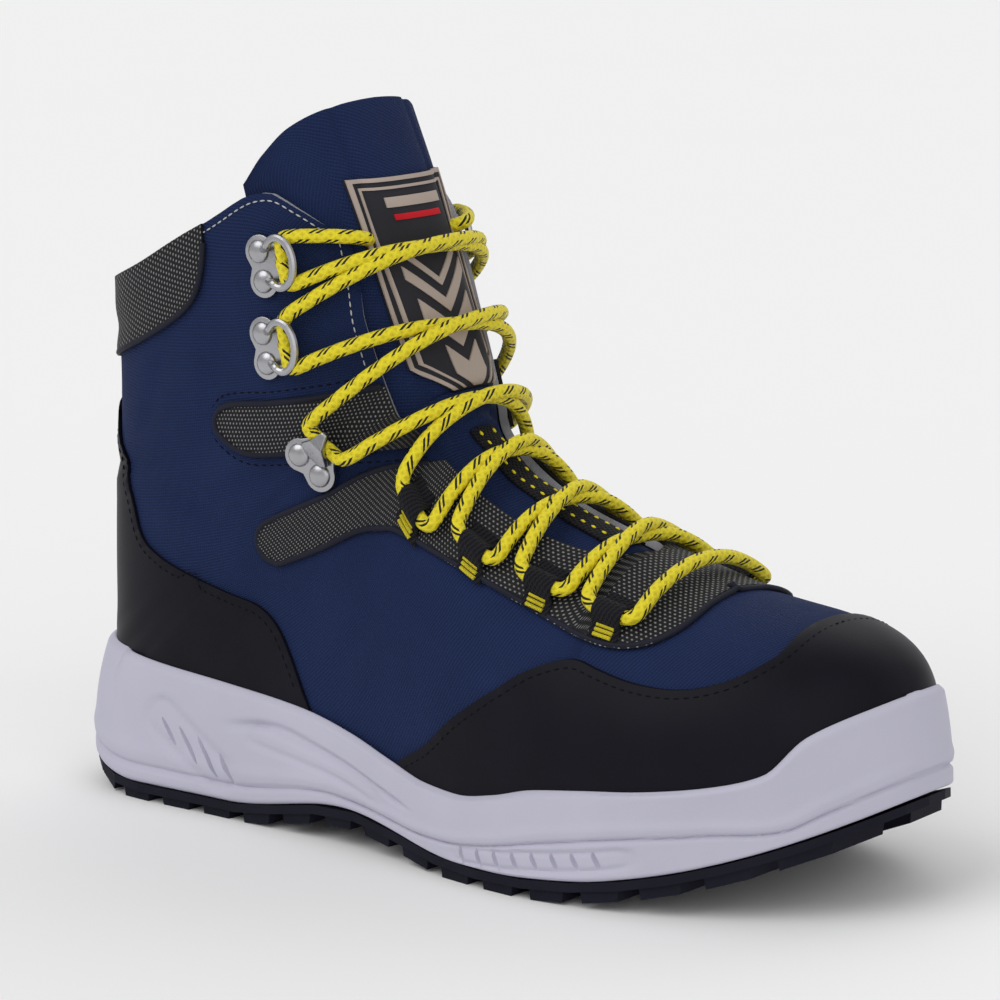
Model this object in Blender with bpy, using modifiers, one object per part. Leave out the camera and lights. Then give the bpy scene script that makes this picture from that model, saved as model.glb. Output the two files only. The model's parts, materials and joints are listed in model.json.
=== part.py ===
"""Wading boot, right foot, laced and empty, standing on its sole.

Metres, +Z up, +X towards the toe, -Y the outer side. The origin lies on the floor at the
middle of the boot's box. The upper is one hollow wall through sections that fan from the toe,
round the instep, to the collar: each section is a line in the side view from the sole or the
back seam up to the front ridge, with a half width on each side of it.
"""

import math
from collections import namedtuple

import bmesh
import bpy
from mathutils import Matrix, Vector

# Driving sizes
LENGTH = 0.310
BALL_WIDTH = 0.113
SHAFT_HEIGHT = 0.195
WALL = 0.0026
OVERLAY = 0.0010
GAP = 0.0003
SEAT = 0.0005
FOLD_IN = 0.0070
WELD = 0.00001
BACK_ROUND = 2.5

# Sole sizes
OUTSOLE_BASE = 0.0028
LUG_DEPTH = 0.0032
HEEL_BEVEL = 0.0090
ARCH_RISE = 0.0065
TOE_SPRING = 0.0270
MIDSOLE_HEIGHT = 0.0480
LIP = 0.0026
LIP_FIT = 0.0008
FOOT_FIT = 0.0009
INSOLE_FIT = 0.0019
EDGE_ROUND = 0.0014
GROOVE_DEPTH = 0.0009
GROOVE_HALF = 0.030
CHANNEL_RADIUS = 0.0018
RIB_WIDTH = 0.0014
INSOLE_THICK = 0.0035
FLAT_SINK = 0.0005
LUG_PITCHES = 16
LUG_EDGE = 0.0018
LUG_TAPER = 0.0006
LUG_SKEW = 0.0030
STATION_COUNT = 26

# Places along the sole as shares of the length, and roundness of its ends
PLAN_ROUND = 2.3
HEEL_ROUND = 0.135
TOE_ROUND = 0.210
BEVEL_END = 0.130
ARCH_START = 0.250
ARCH_END = 0.600
SPRING_START = 0.620
SPRING_POWER = 2.2
WALL_FLARE = 2.4
TREAD_START = 0.035
TREAD_SHARE = 0.930
LUG_GAP = 0.160
LUG_SHARE = 0.680
LUG_DEPTHS = (0.435, 0.360)

# Fittings
LACE_DIAMETER = 0.0044
LACE_LIFT = 0.0044
HOOK_PLATE = 0.0012
HOOK_HALF = 0.0096
BARREL_HALF = 0.0042
BARREL_RADIUS = 0.0026
BARREL_AHEAD = 0.0088
RIVET_RADIUS = 0.0037
RIVET_APART = 0.0092
EYELET_RADIUS = 0.0048
EYELET_ABOVE = 0.0030
WEBBING_WIDTH = 0.0100
WEBBING_THICK = 0.0022
TAB_LENGTH = 0.0155
STRIP_START = 0.955
TONGUE_THICK = 0.0034
LOOP_WIDTH = 0.0120
LOOP_THICK = 0.0013
END_TUCK = 0.0024

# Sole plan: share of the length from the heel, half width and shift towards the inner side
# as shares of the ball width.
HALF_WIDTH, SHIFT = 1, 2
PLAN = [
    (0.00, 0.352, -0.020),
    (0.12, 0.358, -0.022),
    (0.25, 0.352, -0.030),
    (0.38, 0.352, -0.046),
    (0.50, 0.392, -0.046),
    (0.60, 0.455, -0.030),
    (0.68, 0.492, -0.006),
    (0.74, 0.494, 0.008),
    (0.82, 0.462, 0.030),
    (0.90, 0.420, 0.052),
    (1.00, 0.370, 0.075),
]

# Midsole rim: share of the length, height on the outer and the inner side as shares of the
# midsole height.
OUTER_RIM, INNER_RIM = 1, 2
RIM = [
    (0.00, 1.00, 1.00),
    (0.07, 0.98, 0.97),
    (0.16, 0.94, 0.91),
    (0.26, 0.89, 0.84),
    (0.36, 0.83, 0.80),
    (0.43, 0.74, 0.76),
    (0.49, 0.63, 0.69),
    (0.54, 0.55, 0.61),
    (0.59, 0.53, 0.55),
    (0.64, 0.58, 0.54),
    (0.69, 0.66, 0.59),
    (0.75, 0.71, 0.70),
    (0.82, 0.76, 0.78),
    (0.89, 0.83, 0.87),
    (0.925, 0.90, 0.95),
    (0.955, 1.12, 1.15),
    (1.00, 1.29, 1.29),
]

# Midsole floor: share of the length and thickness under the foot as a share of the midsole
# height.
BED = [
    (0.00, 0.30),
    (0.15, 0.35),
    (0.35, 0.24),
    (0.50, 0.19),
    (0.75, 0.175),
    (1.00, 0.15),
]

# Sections of the upper: place of the foot of the line along the length, its height above the
# footbed, place and height of its top, half widths outside and inside, share of the line where
# it is widest, roundness of the front, shift to the inner side. Lengths are shares of the
# length, heights of the shaft height, widths of the ball width.
Section = namedtuple("Section", "foot_x foot_z top_x top_z outer inner widest front shift")
SECTIONS = [
    (0.979, 0.00, 0.979, 0.275, 0.400, 0.400, 0.32, 2.6, 0.070),
    (0.976, 0.00, 0.976, 0.310, 0.400, 0.400, 0.33, 2.5, 0.069),
    (0.970, 0.00, 0.970, 0.335, 0.402, 0.402, 0.34, 2.4, 0.068),
    (0.959, 0.00, 0.959, 0.360, 0.406, 0.406, 0.34, 2.3, 0.064),
    (0.942, 0.00, 0.942, 0.382, 0.412, 0.412, 0.34, 2.3, 0.058),
    (0.916, 0.00, 0.915, 0.400, 0.420, 0.420, 0.34, 2.3, 0.050),
    (0.877, 0.00, 0.874, 0.417, 0.430, 0.432, 0.33, 2.2, 0.040),
    (0.832, 0.00, 0.826, 0.429, 0.440, 0.444, 0.32, 2.1, 0.030),
    (0.787, 0.00, 0.777, 0.444, 0.447, 0.450, 0.30, 2.0, 0.020),
    (0.748, 0.00, 0.735, 0.466, 0.447, 0.448, 0.28, 1.95, 0.012),
    (0.703, 0.00, 0.687, 0.492, 0.444, 0.438, 0.26, 1.9, 0.002),
    (0.652, 0.00, 0.635, 0.521, 0.432, 0.418, 0.25, 1.9, -0.008),
    (0.600, 0.00, 0.584, 0.556, 0.414, 0.393, 0.25, 1.9, -0.018),
    (0.542, 0.00, 0.540, 0.600, 0.388, 0.364, 0.26, 1.95, -0.024),
    (0.471, 0.00, 0.510, 0.644, 0.356, 0.338, 0.30, 2.0, -0.028),
    (0.387, 0.00, 0.500, 0.668, 0.330, 0.322, 0.38, 2.1, -0.030),
    (0.290, 0.00, 0.495, 0.684, 0.320, 0.322, 0.46, 2.2, -0.024),
    (0.187, 0.00, 0.491, 0.698, 0.322, 0.326, 0.52, 2.35, -0.016),
    (0.090, 0.00, 0.488, 0.710, 0.325, 0.328, 0.55, 2.5, -0.012),
    (0.023, 0.00, 0.485, 0.722, 0.328, 0.330, 0.55, 2.6, -0.010),
    (0.026, 0.14, 0.468, 0.772, 0.336, 0.340, 0.55, 2.75, -0.008),
    (0.032, 0.28, 0.448, 0.845, 0.342, 0.346, 0.55, 2.85, -0.006),
    (0.041, 0.43, 0.429, 0.920, 0.344, 0.348, 0.55, 2.9, -0.004),
    (0.046, 0.58, 0.413, 0.988, 0.344, 0.348, 0.55, 2.9, -0.002),
    (0.048, 0.69, 0.397, 1.050, 0.346, 0.348, 0.55, 2.9, 0.000),
    (0.048, 0.80, 0.379, 1.112, 0.346, 0.348, 0.55, 2.9, 0.000),
    (0.046, 0.91, 0.360, 1.177, 0.346, 0.348, 0.55, 2.9, 0.000),
]
HEEL_ROW = 19
COLLAR_ROW = 24
TOP_ROW = 26
COLLAR_REACH = 3

# Rows that the upper's mesh is made on, closer together round the throat's end and the heel.
MESH_ROWS = [0, 1, 2.4, 4, 5.5, 7, 8.4, 9.6, 9.9, 10.5, 11.6, 12.8, 14, 15, 16, 17, 17.9]
MESH_ROWS += [18.5, 18.85, 19, 20, 21, 22, 23, 24]
COLUMNS = 7

# Edge of the throat: row and share of the way round from the back or the sole to the ridge.
THROAT = [
    (9.6, 1.000),
    (9.85, 0.940),
    (10.4, 0.900),
    (11.0, 0.885),
    (13.0, 0.865),
    (16.0, 0.830),
    (19.0, 0.800),
    (21.0, 0.800),
    (22.5, 0.815),
    (24.0, 0.820),
    (26.0, 0.820),
]

# Collar line: share of the way from the back seam to the throat and rows above the last row.
COLLAR = [
    (0.00, 0.20),
    (0.25, 0.12),
    (0.45, 0.05),
    (0.60, 0.15),
    (0.72, 0.30),
    (0.78, 0.20),
    (0.85, -0.30),
    (0.92, -0.85),
    (1.00, -1.40),
]

# Outlines of the overlays in the side view, as shares of the length from the heel and of the
# shaft height.
COUNTER_TOP = [
    (-0.030, 0.700),
    (0.048, 0.651),
    (0.068, 0.615),
    (0.090, 0.574),
    (0.113, 0.503),
    (0.129, 0.441),
    (0.158, 0.413),
    (0.203, 0.392),
    (0.258, 0.372),
    (0.300, 0.359),
    (0.326, 0.331),
    (0.345, 0.282),
    (0.361, 0.231),
    (0.378, 0.180),
]
RAND_TOP = [
    (0.482, 0.110),
    (0.497, 0.155),
    (0.539, 0.195),
    (0.577, 0.246),
    (0.623, 0.297),
    (0.661, 0.336),
    (0.694, 0.356),
    (0.713, 0.359),
    (0.739, 0.349),
    (0.777, 0.338),
    (0.823, 0.336),
    (0.861, 0.349),
    (0.887, 0.372),
    (0.897, 0.395),
    (0.888, 0.440),
]
RAND_PEAK = 0.600
PAST_END = 0.030
VAMP_LINE = [
    (0.332, 0.433),
    (0.385, 0.466),
    (0.432, 0.501),
    (0.465, 0.510),
    (0.484, 0.507),
    (0.555, 0.466),
    (0.606, 0.438),
    (0.665, 0.408),
    (0.706, 0.388),
    (0.738, 0.380),
    (0.766, 0.383),
    (0.787, 0.397),
    (0.797, 0.422),
    (0.785, 0.470),
]
BAND_TOP = [
    (0.790, 0.560),
    (0.560, 0.612),
    (0.456, 0.600),
    (0.390, 0.549),
    (0.330, 0.508),
    (0.308, 0.488),
    (0.302, 0.462),
    (0.312, 0.440),
]
ANKLE_BAND = [
    (0.560, 0.650),
    (0.440, 0.625),
    (0.382, 0.619),
    (0.320, 0.606),
    (0.290, 0.606),
    (0.268, 0.620),
    (0.253, 0.642),
    (0.258, 0.668),
    (0.280, 0.682),
    (0.330, 0.690),
    (0.392, 0.707),
    (0.440, 0.724),
    (0.560, 0.760),
]
COLLAR_PANEL = [
    (0.244, 1.060),
    (0.245, 0.935),
    (0.241, 0.892),
    (0.229, 0.846),
    (0.200, 0.810),
    (0.139, 0.764),
    (0.060, 0.722),
    (-0.060, 0.700),
    (-0.060, 1.060),
]
BADGE = [
    (-0.190, 1.035),
    (0.190, 1.035),
    (0.172, 0.745),
    (0.000, 0.672),
    (-0.172, 0.745),
]
BADGE_BACK = 0.300
BADGE_FRONT = 0.630

# Lace tabs: share of the length and share of the way round.
TABS = [(0.728, 0.790), (0.648, 0.790), (0.568, 0.780), (0.493, 0.745)]

# Hooks in the side view: share of the length, share of the shaft height, turn in degrees.
HOOKS = [(0.322, 0.905, -11), (0.325, 0.777, -9), (0.377, 0.600, -50)]

# Stations along the rim of the two drain eyelets of the inner side.
DRAINS = [0.415, 0.492]


def read(table, x):
    """The second column of a table at a place between its rows."""
    return curve(table, 1, x)


def curve(rows, column, x):
    """A smooth curve through the table's rows that doesn't overshoot them."""
    if x <= rows[0][0]:
        return rows[0][column]
    if x >= rows[-1][0]:
        return rows[-1][column]
    i = max(k for k in range(len(rows) - 1) if rows[k][0] <= x)

    def slope(k):
        if k == 0 or k == len(rows) - 1:
            return None
        before = (rows[k][column] - rows[k - 1][column]) / (rows[k][0] - rows[k - 1][0])
        after = (rows[k + 1][column] - rows[k][column]) / (rows[k + 1][0] - rows[k][0])
        return 0.0 if before * after <= 0 else 2 * before * after / (before + after)

    width = rows[i + 1][0] - rows[i][0]
    rise = rows[i + 1][column] - rows[i][column]
    start, end = slope(i), slope(i + 1)
    start = rise / width if start is None else start
    end = rise / width if end is None else end
    t = (x - rows[i][0]) / width
    blend = 3 * t * t - 2 * t**3
    return (
        rows[i][column]
        + rise * blend
        + width * (start * (t**3 - 2 * t * t + t) + end * (t**3 - t * t))
    )


def plain_curve(points, column, row):
    """A Catmull-Rom curve through evenly numbered rows."""
    last = len(points) - 1
    row = min(max(row, 0.0), last)
    i = min(int(row), last - 1)
    t = row - i
    a, b, c, d = (points[min(max(k, 0), last)][column] for k in (i - 1, i, i + 1, i + 2))
    return 0.5 * (
        2 * b
        + (c - a) * t
        + (2 * a - 5 * b + 4 * c - d) * t * t
        + (3 * b - 3 * c + d - a) * t**3
    )


def share(x):
    return (x - HEEL_X) / LENGTH


def end_round(s):
    """1 along the sole and falling to 0 at the heel's and the toe's tip, as a round outline."""
    past = max((HEEL_ROUND - s) / HEEL_ROUND, (s - 1 + TOE_ROUND) / TOE_ROUND)
    if past <= 0:
        return 1.0
    return max(0.0, 1 - past**PLAN_ROUND) ** (1 / PLAN_ROUND)


def plan_extreme(side):
    """Furthest the sole's plan reaches to one side, as a share of the ball width."""
    reach = []
    for i in range(201):
        s = i / 200
        reach.append(side * curve(PLAN, SHIFT, s) + curve(PLAN, HALF_WIDTH, s) * end_round(s))
    return max(reach)


HEEL_X = -LENGTH / 2
CENTRE_Y = -BALL_WIDTH * (plan_extreme(1) - plan_extreme(-1)) / 2


def plan_y(x, side, inset=0.0):
    """Y of the sole's plan on one side, drawn in by the inset."""
    s = min(max(share(x), 0.0), 1.0)
    inner = (x - HEEL_X - inset) / (LENGTH - 2 * inset)
    inner = min(max(inner, 0.0), 1.0)
    half = (curve(PLAN, HALF_WIDTH, s) * BALL_WIDTH - inset) * end_round(inner)
    return CENTRE_Y + curve(PLAN, SHIFT, s) * BALL_WIDTH + side * half


def bottom_z(x):
    """Height of the midsole's underside: heel bevel, arch and toe spring."""
    s = share(x)
    z = OUTSOLE_BASE + LUG_DEPTH
    z += HEEL_BEVEL * (max(BEVEL_END - s, 0.0) / BEVEL_END) ** 2
    if ARCH_START < s < ARCH_END:
        z += ARCH_RISE * math.sin(math.pi * (s - ARCH_START) / (ARCH_END - ARCH_START)) ** 2
    return z + TOE_SPRING * (max(s - SPRING_START, 0.0) / (1 - SPRING_START)) ** SPRING_POWER


def bed_z(x):
    s = min(max(share(x), 0.0), 1.0)
    return bottom_z(x) + read(BED, s) * MIDSOLE_HEIGHT


def rim_z(station, side):
    """Height of the midsole's rim at a station between its heel, 0, and its toe, 1."""
    return curve(RIM, OUTER_RIM if side < 0 else INNER_RIM, station) * MIDSOLE_HEIGHT


def section(row):
    """The line of a section in the side view and its widths."""
    value = Section(*[plain_curve(SECTIONS, k, row) for k in range(len(Section._fields))])
    foot_x = HEEL_X + value.foot_x * LENGTH
    foot_z = bed_z(foot_x) + FOOT_FIT + max(value.foot_z, 0.0) * SHAFT_HEIGHT
    top_x = HEEL_X + value.top_x * LENGTH
    top_z = value.top_z * SHAFT_HEIGHT
    return foot_x, foot_z, top_x, top_z, value


def surface(row, around, side):
    """A point of the upper's outer face. The share around runs from the sole or the back
    seam, 0, to the front ridge, 1."""
    foot_x, foot_z, top_x, top_z, value = section(row)
    reach = max(value.foot_x / SECTIONS[0][0], HEEL_ROUND)
    half = (value.outer if side < 0 else value.inner) * BALL_WIDTH * end_round(reach)
    middle = CENTRE_Y + value.shift * BALL_WIDTH
    feather = 0.0
    if row < HEEL_ROW:
        feather = abs(plan_y(foot_x, side, FOLD_IN) - middle)
    wide = value.widest
    if around < 0.5:
        angle = around * math.pi
        power = 2 / BACK_ROUND
        t = wide * (1 - math.cos(angle) ** power)
        width = feather + (half - feather) * math.sin(angle) ** power
    else:
        angle = (around - 0.5) * math.pi
        power = 2 / value.front
        t = wide + (1 - wide) * math.sin(angle) ** power
        width = half * max(math.cos(angle), 0.0) ** power
    return Vector(
        (
            foot_x + (top_x - foot_x) * t,
            middle + side * width,
            foot_z + (top_z - foot_z) * t,
        )
    )


def normal(row, around, side):
    """Outward direction of the upper at a point, level across the boot along its seams."""
    low, high = max(row - 0.05, 0.0), min(row + 0.05, TOP_ROW)
    back, front = max(around - 0.004, 0.0), min(around + 0.004, 1.0)
    along = surface(high, around, side) - surface(low, around, side)
    across = surface(row, front, side) - surface(row, back, side)
    out = along.cross(across) * side
    if around > 0.999 or row == 0 or (around < 0.001 and row >= HEEL_ROW):
        out.y = 0.0
    return out.normalized()


def lifted(row, around, side, lift):
    return surface(row, around, side) + normal(row, around, side) * lift


def line_share(row, z):
    """How far along a section's line a height lies, and the place there."""
    foot_x, foot_z, top_x, top_z, value = section(row)
    t = (z - foot_z) / (top_z - foot_z)
    return t, foot_x + (top_x - foot_x) * t


def row_at(x, z):
    """The section that passes through a place in the side view, and its share around."""
    low, high = 0.0, float(TOP_ROW)
    for _ in range(30):
        middle = (low + high) / 2
        if line_share(middle, z)[1] > x:
            low = middle
        else:
            high = middle
    row = (low + high) / 2
    t = min(max(line_share(row, z)[0], 0.0), 1.0)
    value = section(row)[4]
    wide = value.widest
    if t < wide:
        return row, math.acos((1 - t / wide) ** (BACK_ROUND / 2)) / math.pi
    return row, 0.5 + math.asin(((t - wide) / (1 - wide)) ** (value.front / 2)) / math.pi


def back_x(z):
    """Place of the back seam at a height."""
    low, high = float(HEEL_ROW), float(TOP_ROW)
    for _ in range(30):
        middle = (low + high) / 2
        if section(middle)[1] < z:
            low = middle
        else:
            high = middle
    return section((low + high) / 2)[0]


def slice_point(station, z, side, out):
    """A point of the upper's level slice at a height, moved out from it. The station runs from
    the heel, 0, to the toe, 1."""
    ends = back_x(z), surface(0, 0, 1).x

    def place(at):
        x = ends[0] + (ends[1] - ends[0]) * at
        row, around = row_at(x, z)
        middle = CENTRE_Y + section(row)[4].shift * BALL_WIDTH
        y = surface(row, around, side).y
        if at <= 0.0 or at >= 1.0:
            y = middle
        return Vector((x, y, z))

    point = place(station)
    if station <= 0.0 or station >= 1.0:
        return point + Vector((out if station >= 1.0 else -out, 0, 0))
    step = min(0.004, station, 1 - station)
    along = place(station + step) - place(station - step)
    away = Vector((-along.y, along.x, 0)).normalized() * side
    return point + away * out


def edge_share(row):
    """Share of the way round at which the throat's edge lies."""
    return read(THROAT, row)


# Scene helpers


def clear_scene():
    for thing in list(bpy.data.objects):
        bpy.data.objects.remove(thing, do_unlink=True)


def collection(name):
    group = bpy.data.collections.new(name)
    bpy.context.scene.collection.children.link(group)
    return group


def material(name, colour, roughness, metallic=0.0):
    made = bpy.data.materials.new(name)
    made.use_nodes = True
    shader = made.node_tree.nodes["Principled BSDF"]
    shader.inputs["Base Color"].default_value = (*colour, 1.0)
    shader.inputs["Roughness"].default_value = roughness
    shader.inputs["Metallic"].default_value = metallic
    made.diffuse_color = (*colour, 1.0)
    return made


def add(name, mesh, finish, group):
    """Makes an object from a bmesh."""
    data = bpy.data.meshes.new(name)
    mesh.to_mesh(data)
    mesh.free()
    data.materials.append(finish)
    thing = bpy.data.objects.new(name, data)
    group.objects.link(thing)
    return thing


def thicken(thing, thickness, outward):
    solid = thing.modifiers.new("Thickness", "SOLIDIFY")
    solid.thickness = thickness
    solid.offset = 1.0 if outward else -1.0
    return thing


def cut(thing, cutter, operation="DIFFERENCE"):
    boolean = thing.modifiers.new(cutter.name, "BOOLEAN")
    boolean.operation = operation
    boolean.solver = "EXACT"
    boolean.object = cutter
    return thing


def guide(name, mesh, parts):
    """An object that only cuts others."""
    thing = add(name, mesh, parts["cutter"], parts["cutters"])
    thing.hide_render = True
    thing.display_type = "WIRE"
    return thing


def settle(thing):
    """Turns the object's modifiers into its mesh, with flat faces."""
    graph = bpy.context.evaluated_depsgraph_get()
    data = bpy.data.meshes.new_from_object(thing.evaluated_get(graph))
    thing.modifiers.clear()
    mesh = bmesh.new()
    mesh.from_mesh(data)
    bmesh.ops.triangulate(mesh, faces=mesh.faces)
    mesh.to_mesh(data)
    mesh.free()
    thing.data = data
    return thing


def smooth(thing, angle=35):
    thing.data.shade_smooth()
    thing.data.set_sharp_from_angle(angle=math.radians(angle))
    return thing


def patch(rows, columns, place, sides=(-1, 1)):
    """An open surface: on each side a grid whose points the function places."""
    mesh = bmesh.new()
    for side in sides:
        made = bmesh.ops.create_grid(
            mesh, x_segments=len(rows) - 1, y_segments=columns, size=0.5
        )["verts"]
        for vertex in made:
            i = round((vertex.co.x + 0.5) * (len(rows) - 1))
            j = round((vertex.co.y + 0.5) * columns)
            vertex.co = place(rows[i], j / columns, side)
        if side < 0:
            faces = {face for vertex in made for face in vertex.link_faces}
            bmesh.ops.reverse_faces(mesh, faces=list(faces))
    bmesh.ops.remove_doubles(mesh, verts=mesh.verts, dist=WELD)
    bmesh.ops.dissolve_degenerate(mesh, edges=mesh.edges, dist=WELD)
    bmesh.ops.triangulate(mesh, faces=mesh.faces, quad_method="FIXED")
    return mesh


def prism(outline, axis, start, end):
    """A flat outline drawn out along an axis: 1 for y from points (x, z), 0 for x from (y, z)."""
    mesh = bmesh.new()
    points = []
    for a, b in outline:
        points.append((a, start, b) if axis == 1 else (start, a, b))
    corners = [mesh.verts.new(point) for point in points]
    face = mesh.faces.new(corners)
    made = bmesh.ops.extrude_face_region(mesh, geom=[face])["geom"]
    step = Vector((0, end - start, 0)) if axis == 1 else Vector((end - start, 0, 0))
    moved = [item for item in made if isinstance(item, bmesh.types.BMVert)]
    bmesh.ops.translate(mesh, verts=moved, vec=step)
    bmesh.ops.recalc_face_normals(mesh, faces=mesh.faces)
    return mesh


def place_xz(point):
    return (HEEL_X + point[0] * LENGTH, point[1] * SHAFT_HEIGHT)


def rounded(outline, steps=4):
    """Points along a smooth open line through the outline's points."""
    points = []
    last = (len(outline) - 1) * steps
    for i in range(last + 1):
        points.append(tuple(plain_curve(outline, k, i / steps) for k in (0, 1)))
    return points


def label(side):
    """Name of a side of the boot in its pieces' names."""
    return "outer" if side < 0 else "inner"


def cutting_tube(name, points, radius, parts):
    """A tube that only shapes others."""
    thing = tube(name, points, radius, parts["cutter"], parts["cutters"])
    thing.hide_render = True
    thing.display_type = "WIRE"
    return thing


def tube(name, points, radius, finish, group):
    """A round cord along the points, with its ends closed."""
    data = bpy.data.curves.new(name, "CURVE")
    data.dimensions = "3D"
    data.bevel_depth = radius
    data.bevel_resolution = 2
    data.use_fill_caps = True
    spline = data.splines.new("POLY")
    spline.points.add(len(points) - 1)
    for target, point in zip(spline.points, points):
        target.co = (*point, 1.0)
    drawn = bpy.data.objects.new(name, data)
    group.objects.link(drawn)
    graph = bpy.context.evaluated_depsgraph_get()
    mesh = bmesh.new()
    solid = bpy.data.meshes.new_from_object(drawn.evaluated_get(graph))
    mesh.from_mesh(solid)
    bmesh.ops.remove_doubles(mesh, verts=mesh.verts, dist=WELD)
    bmesh.ops.recalc_face_normals(mesh, faces=mesh.faces)
    bpy.data.objects.remove(drawn, do_unlink=True)
    return smooth(add(name, mesh, finish, group))


# Sole


STATIONS = [(1 - math.cos(math.pi * i / STATION_COUNT)) / 2 for i in range(STATION_COUNT + 1)]


def ringed(rings):
    """A closed solid from rings round the boot, each a function of station and side, with its
    first and last ring closed across the boot."""
    mesh = bmesh.new()
    count = len(STATIONS)
    around = [(k, -1) for k in range(count)] + [(k, 1) for k in range(count - 2, 0, -1)]
    loops = []
    for ring in rings:
        loops.append([mesh.verts.new(ring(STATIONS[k], side)) for k, side in around])
    for low, high in zip(loops, loops[1:]):
        for i in range(len(around)):
            j = (i + 1) % len(around)
            mesh.faces.new((low[i], low[j], high[j], high[i]))
    for loop in (loops[0], loops[-1]):
        for k in range(count - 1):
            near = loop[k], loop[k + 1]
            far = loop[-k - 1], loop[-k]
            corners = [near[0], near[1], far[0], far[1]]
            if k == 0:
                corners = [near[0], near[1], far[0]]
            if k == count - 2:
                corners = [near[0], near[1], far[1]]
            mesh.faces.new(corners)
    bmesh.ops.recalc_face_normals(mesh, faces=mesh.faces)
    bmesh.ops.triangulate(mesh, faces=mesh.faces, quad_method="SHORT_EDGE")
    return mesh


def plan_point(station, side, inset, height):
    """A point of the sole's plan drawn in by the inset, at the height the function gives."""
    x = HEEL_X + inset + (LENGTH - 2 * inset) * station
    y = plan_y(x, side, inset)
    if station <= 0.0 or station >= 1.0:
        y = CENTRE_Y + curve(PLAN, SHIFT, station) * BALL_WIDTH
    return Vector((x, y, height(x)))


def plan_ring(inset, height):
    """A ring of the sole's plan drawn in by the inset."""

    def ring(station, side):
        return plan_point(station, side, inset, height)

    return ring


def wall_point(station, side, level, out=0.0):
    """A point of the midsole's outer wall between its bottom edge, 0, and its rim, 1."""
    low = plan_point(station, side, -out, bottom_z)
    rim = rim_z(station, side)
    high = slice_point(station, rim, side, LIP_FIT + LIP + out)
    point = low.lerp(high, level**WALL_FLARE)
    point.z = low.z + (rim - low.z) * level
    return point


def wall_ring(level):
    """A ring of the midsole's outer wall at one share of its height."""

    def ring(station, side):
        return wall_point(station, side, level)

    return ring


def inner_point(station, side, level, out=LIP_FIT):
    """A point of the midsole's inner wall between just above the footbed, 0, and its rim, 1."""
    bed = bed_z(HEEL_X + LENGTH * station) + 2 * EDGE_ROUND
    return slice_point(station, bed + (rim_z(station, side) - bed) * level, side, out)


def inner_ring(level, out=LIP_FIT):
    """A ring of the midsole's inner wall at one share of its height."""

    def ring(station, side):
        return inner_point(station, side, level, out)

    return ring


def bed_point(station, side):
    """A point of the footbed's edge."""
    point = inner_point(station, side, 0.0, 4 * LIP_FIT)
    point.z = bed_z(point.x)
    return point


# The long groove: station and share of the wall's height.
GROOVE = [
    (0.00, 0.15),
    (0.22, 0.15),
    (0.36, 0.17),
    (0.44, 0.14),
    (0.51, 0.17),
    (0.58, 0.28),
    (0.68, 0.41),
    (0.78, 0.48),
    (0.86, 0.42),
    (0.94, 0.20),
    (1.00, 0.24),
]

# The channel along the waist: station and share of the wall's height.
CHANNEL = [(0.250, 0.66), (0.325, 0.76), (0.395, 0.66), (0.465, 0.56), (0.530, 0.50)]


def groove_ring(shift, out):
    """A ring of the outer wall beside or in the long groove."""

    def ring(station, side):
        return wall_point(station, side, read(GROOVE, station) + shift, out)

    return ring


def midsole(parts):
    rings = [
        plan_ring(EDGE_ROUND, bottom_z),
        wall_ring(0.05),
        groove_ring(-GROOVE_HALF, 0.0),
        groove_ring(0.0, -GROOVE_DEPTH),
        groove_ring(GROOVE_HALF, 0.0),
        wall_ring(0.76),
        wall_ring(0.96),
        inner_ring(1.0, LIP_FIT + LIP - EDGE_ROUND / 2),
        inner_ring(1.0),
        inner_ring(0.5, 3 * LIP_FIT),
        inner_ring(0.0, 4 * LIP_FIT),
        bed_point,
    ]
    made = add("midsole", ringed(rings), parts["foam"], parts["group"])
    for side in (-1, 1):
        cut(made, guide("ribs_" + label(side), side_ribs(side), parts))
        points = [wall_point(station, side, level) for station, level in CHANNEL]
        cut(made, cutting_tube("channel_" + label(side), points, CHANNEL_RADIUS, parts))
    return smooth(settle(made), 30)


# Slots of the side: how many, first station and its step, first share of the wall's height and
# its step, length, how much shorter each next one is from the middle, slant in degrees.
Slots = namedtuple("Slots", "count station pitch level fall length shorter slant")
HEEL_SLOTS = Slots(4, 0.176, 0.028, 0.490, -0.070, 0.0135, 0.0022, 38)
FRONT_SLOTS = Slots(8, 0.602, 0.0230, 0.170, 0.011, 0.0056, 0.0, 24)


def side_ribs(side):
    """Slanted slots near the heel and along the forefoot."""
    mesh = bmesh.new()
    slots = []
    for row in (HEEL_SLOTS, FRONT_SLOTS):
        for i in range(row.count):
            length = row.length - row.shorter * abs(i - row.count / 2)
            slots.append((row.station + row.pitch * i, row.level + row.fall * i, length, row.slant))
    for station, level, length, slant in slots:
        centre = wall_point(station, side, level)
        ahead = (wall_point(station + 0.01, side, level) - centre).normalized()
        up = wall_point(station, side, level + 0.05) - wall_point(station, side, level - 0.05)
        out = ahead.cross(up).normalized() * -side
        up = out.cross(ahead).normalized() * (1 if side < 0 else -1)
        turn = math.radians(slant)
        long = (up * math.cos(turn) - ahead * math.sin(turn)).normalized()
        wide = (ahead * math.cos(turn) + up * math.sin(turn)).normalized()
        frame = Matrix((wide * RIB_WIDTH, out * (2 * GROOVE_DEPTH), long * length)).transposed()
        bmesh.ops.create_cube(mesh, size=1.0, matrix=Matrix.Translation(centre) @ frame.to_4x4())
    bmesh.ops.recalc_face_normals(mesh, faces=mesh.faces)
    return mesh


def ground_z(x):
    """Height of the tread, flat where the boot stands."""
    return max(0.0, bottom_z(x) - OUTSOLE_BASE - LUG_DEPTH - FLAT_SINK)


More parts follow.
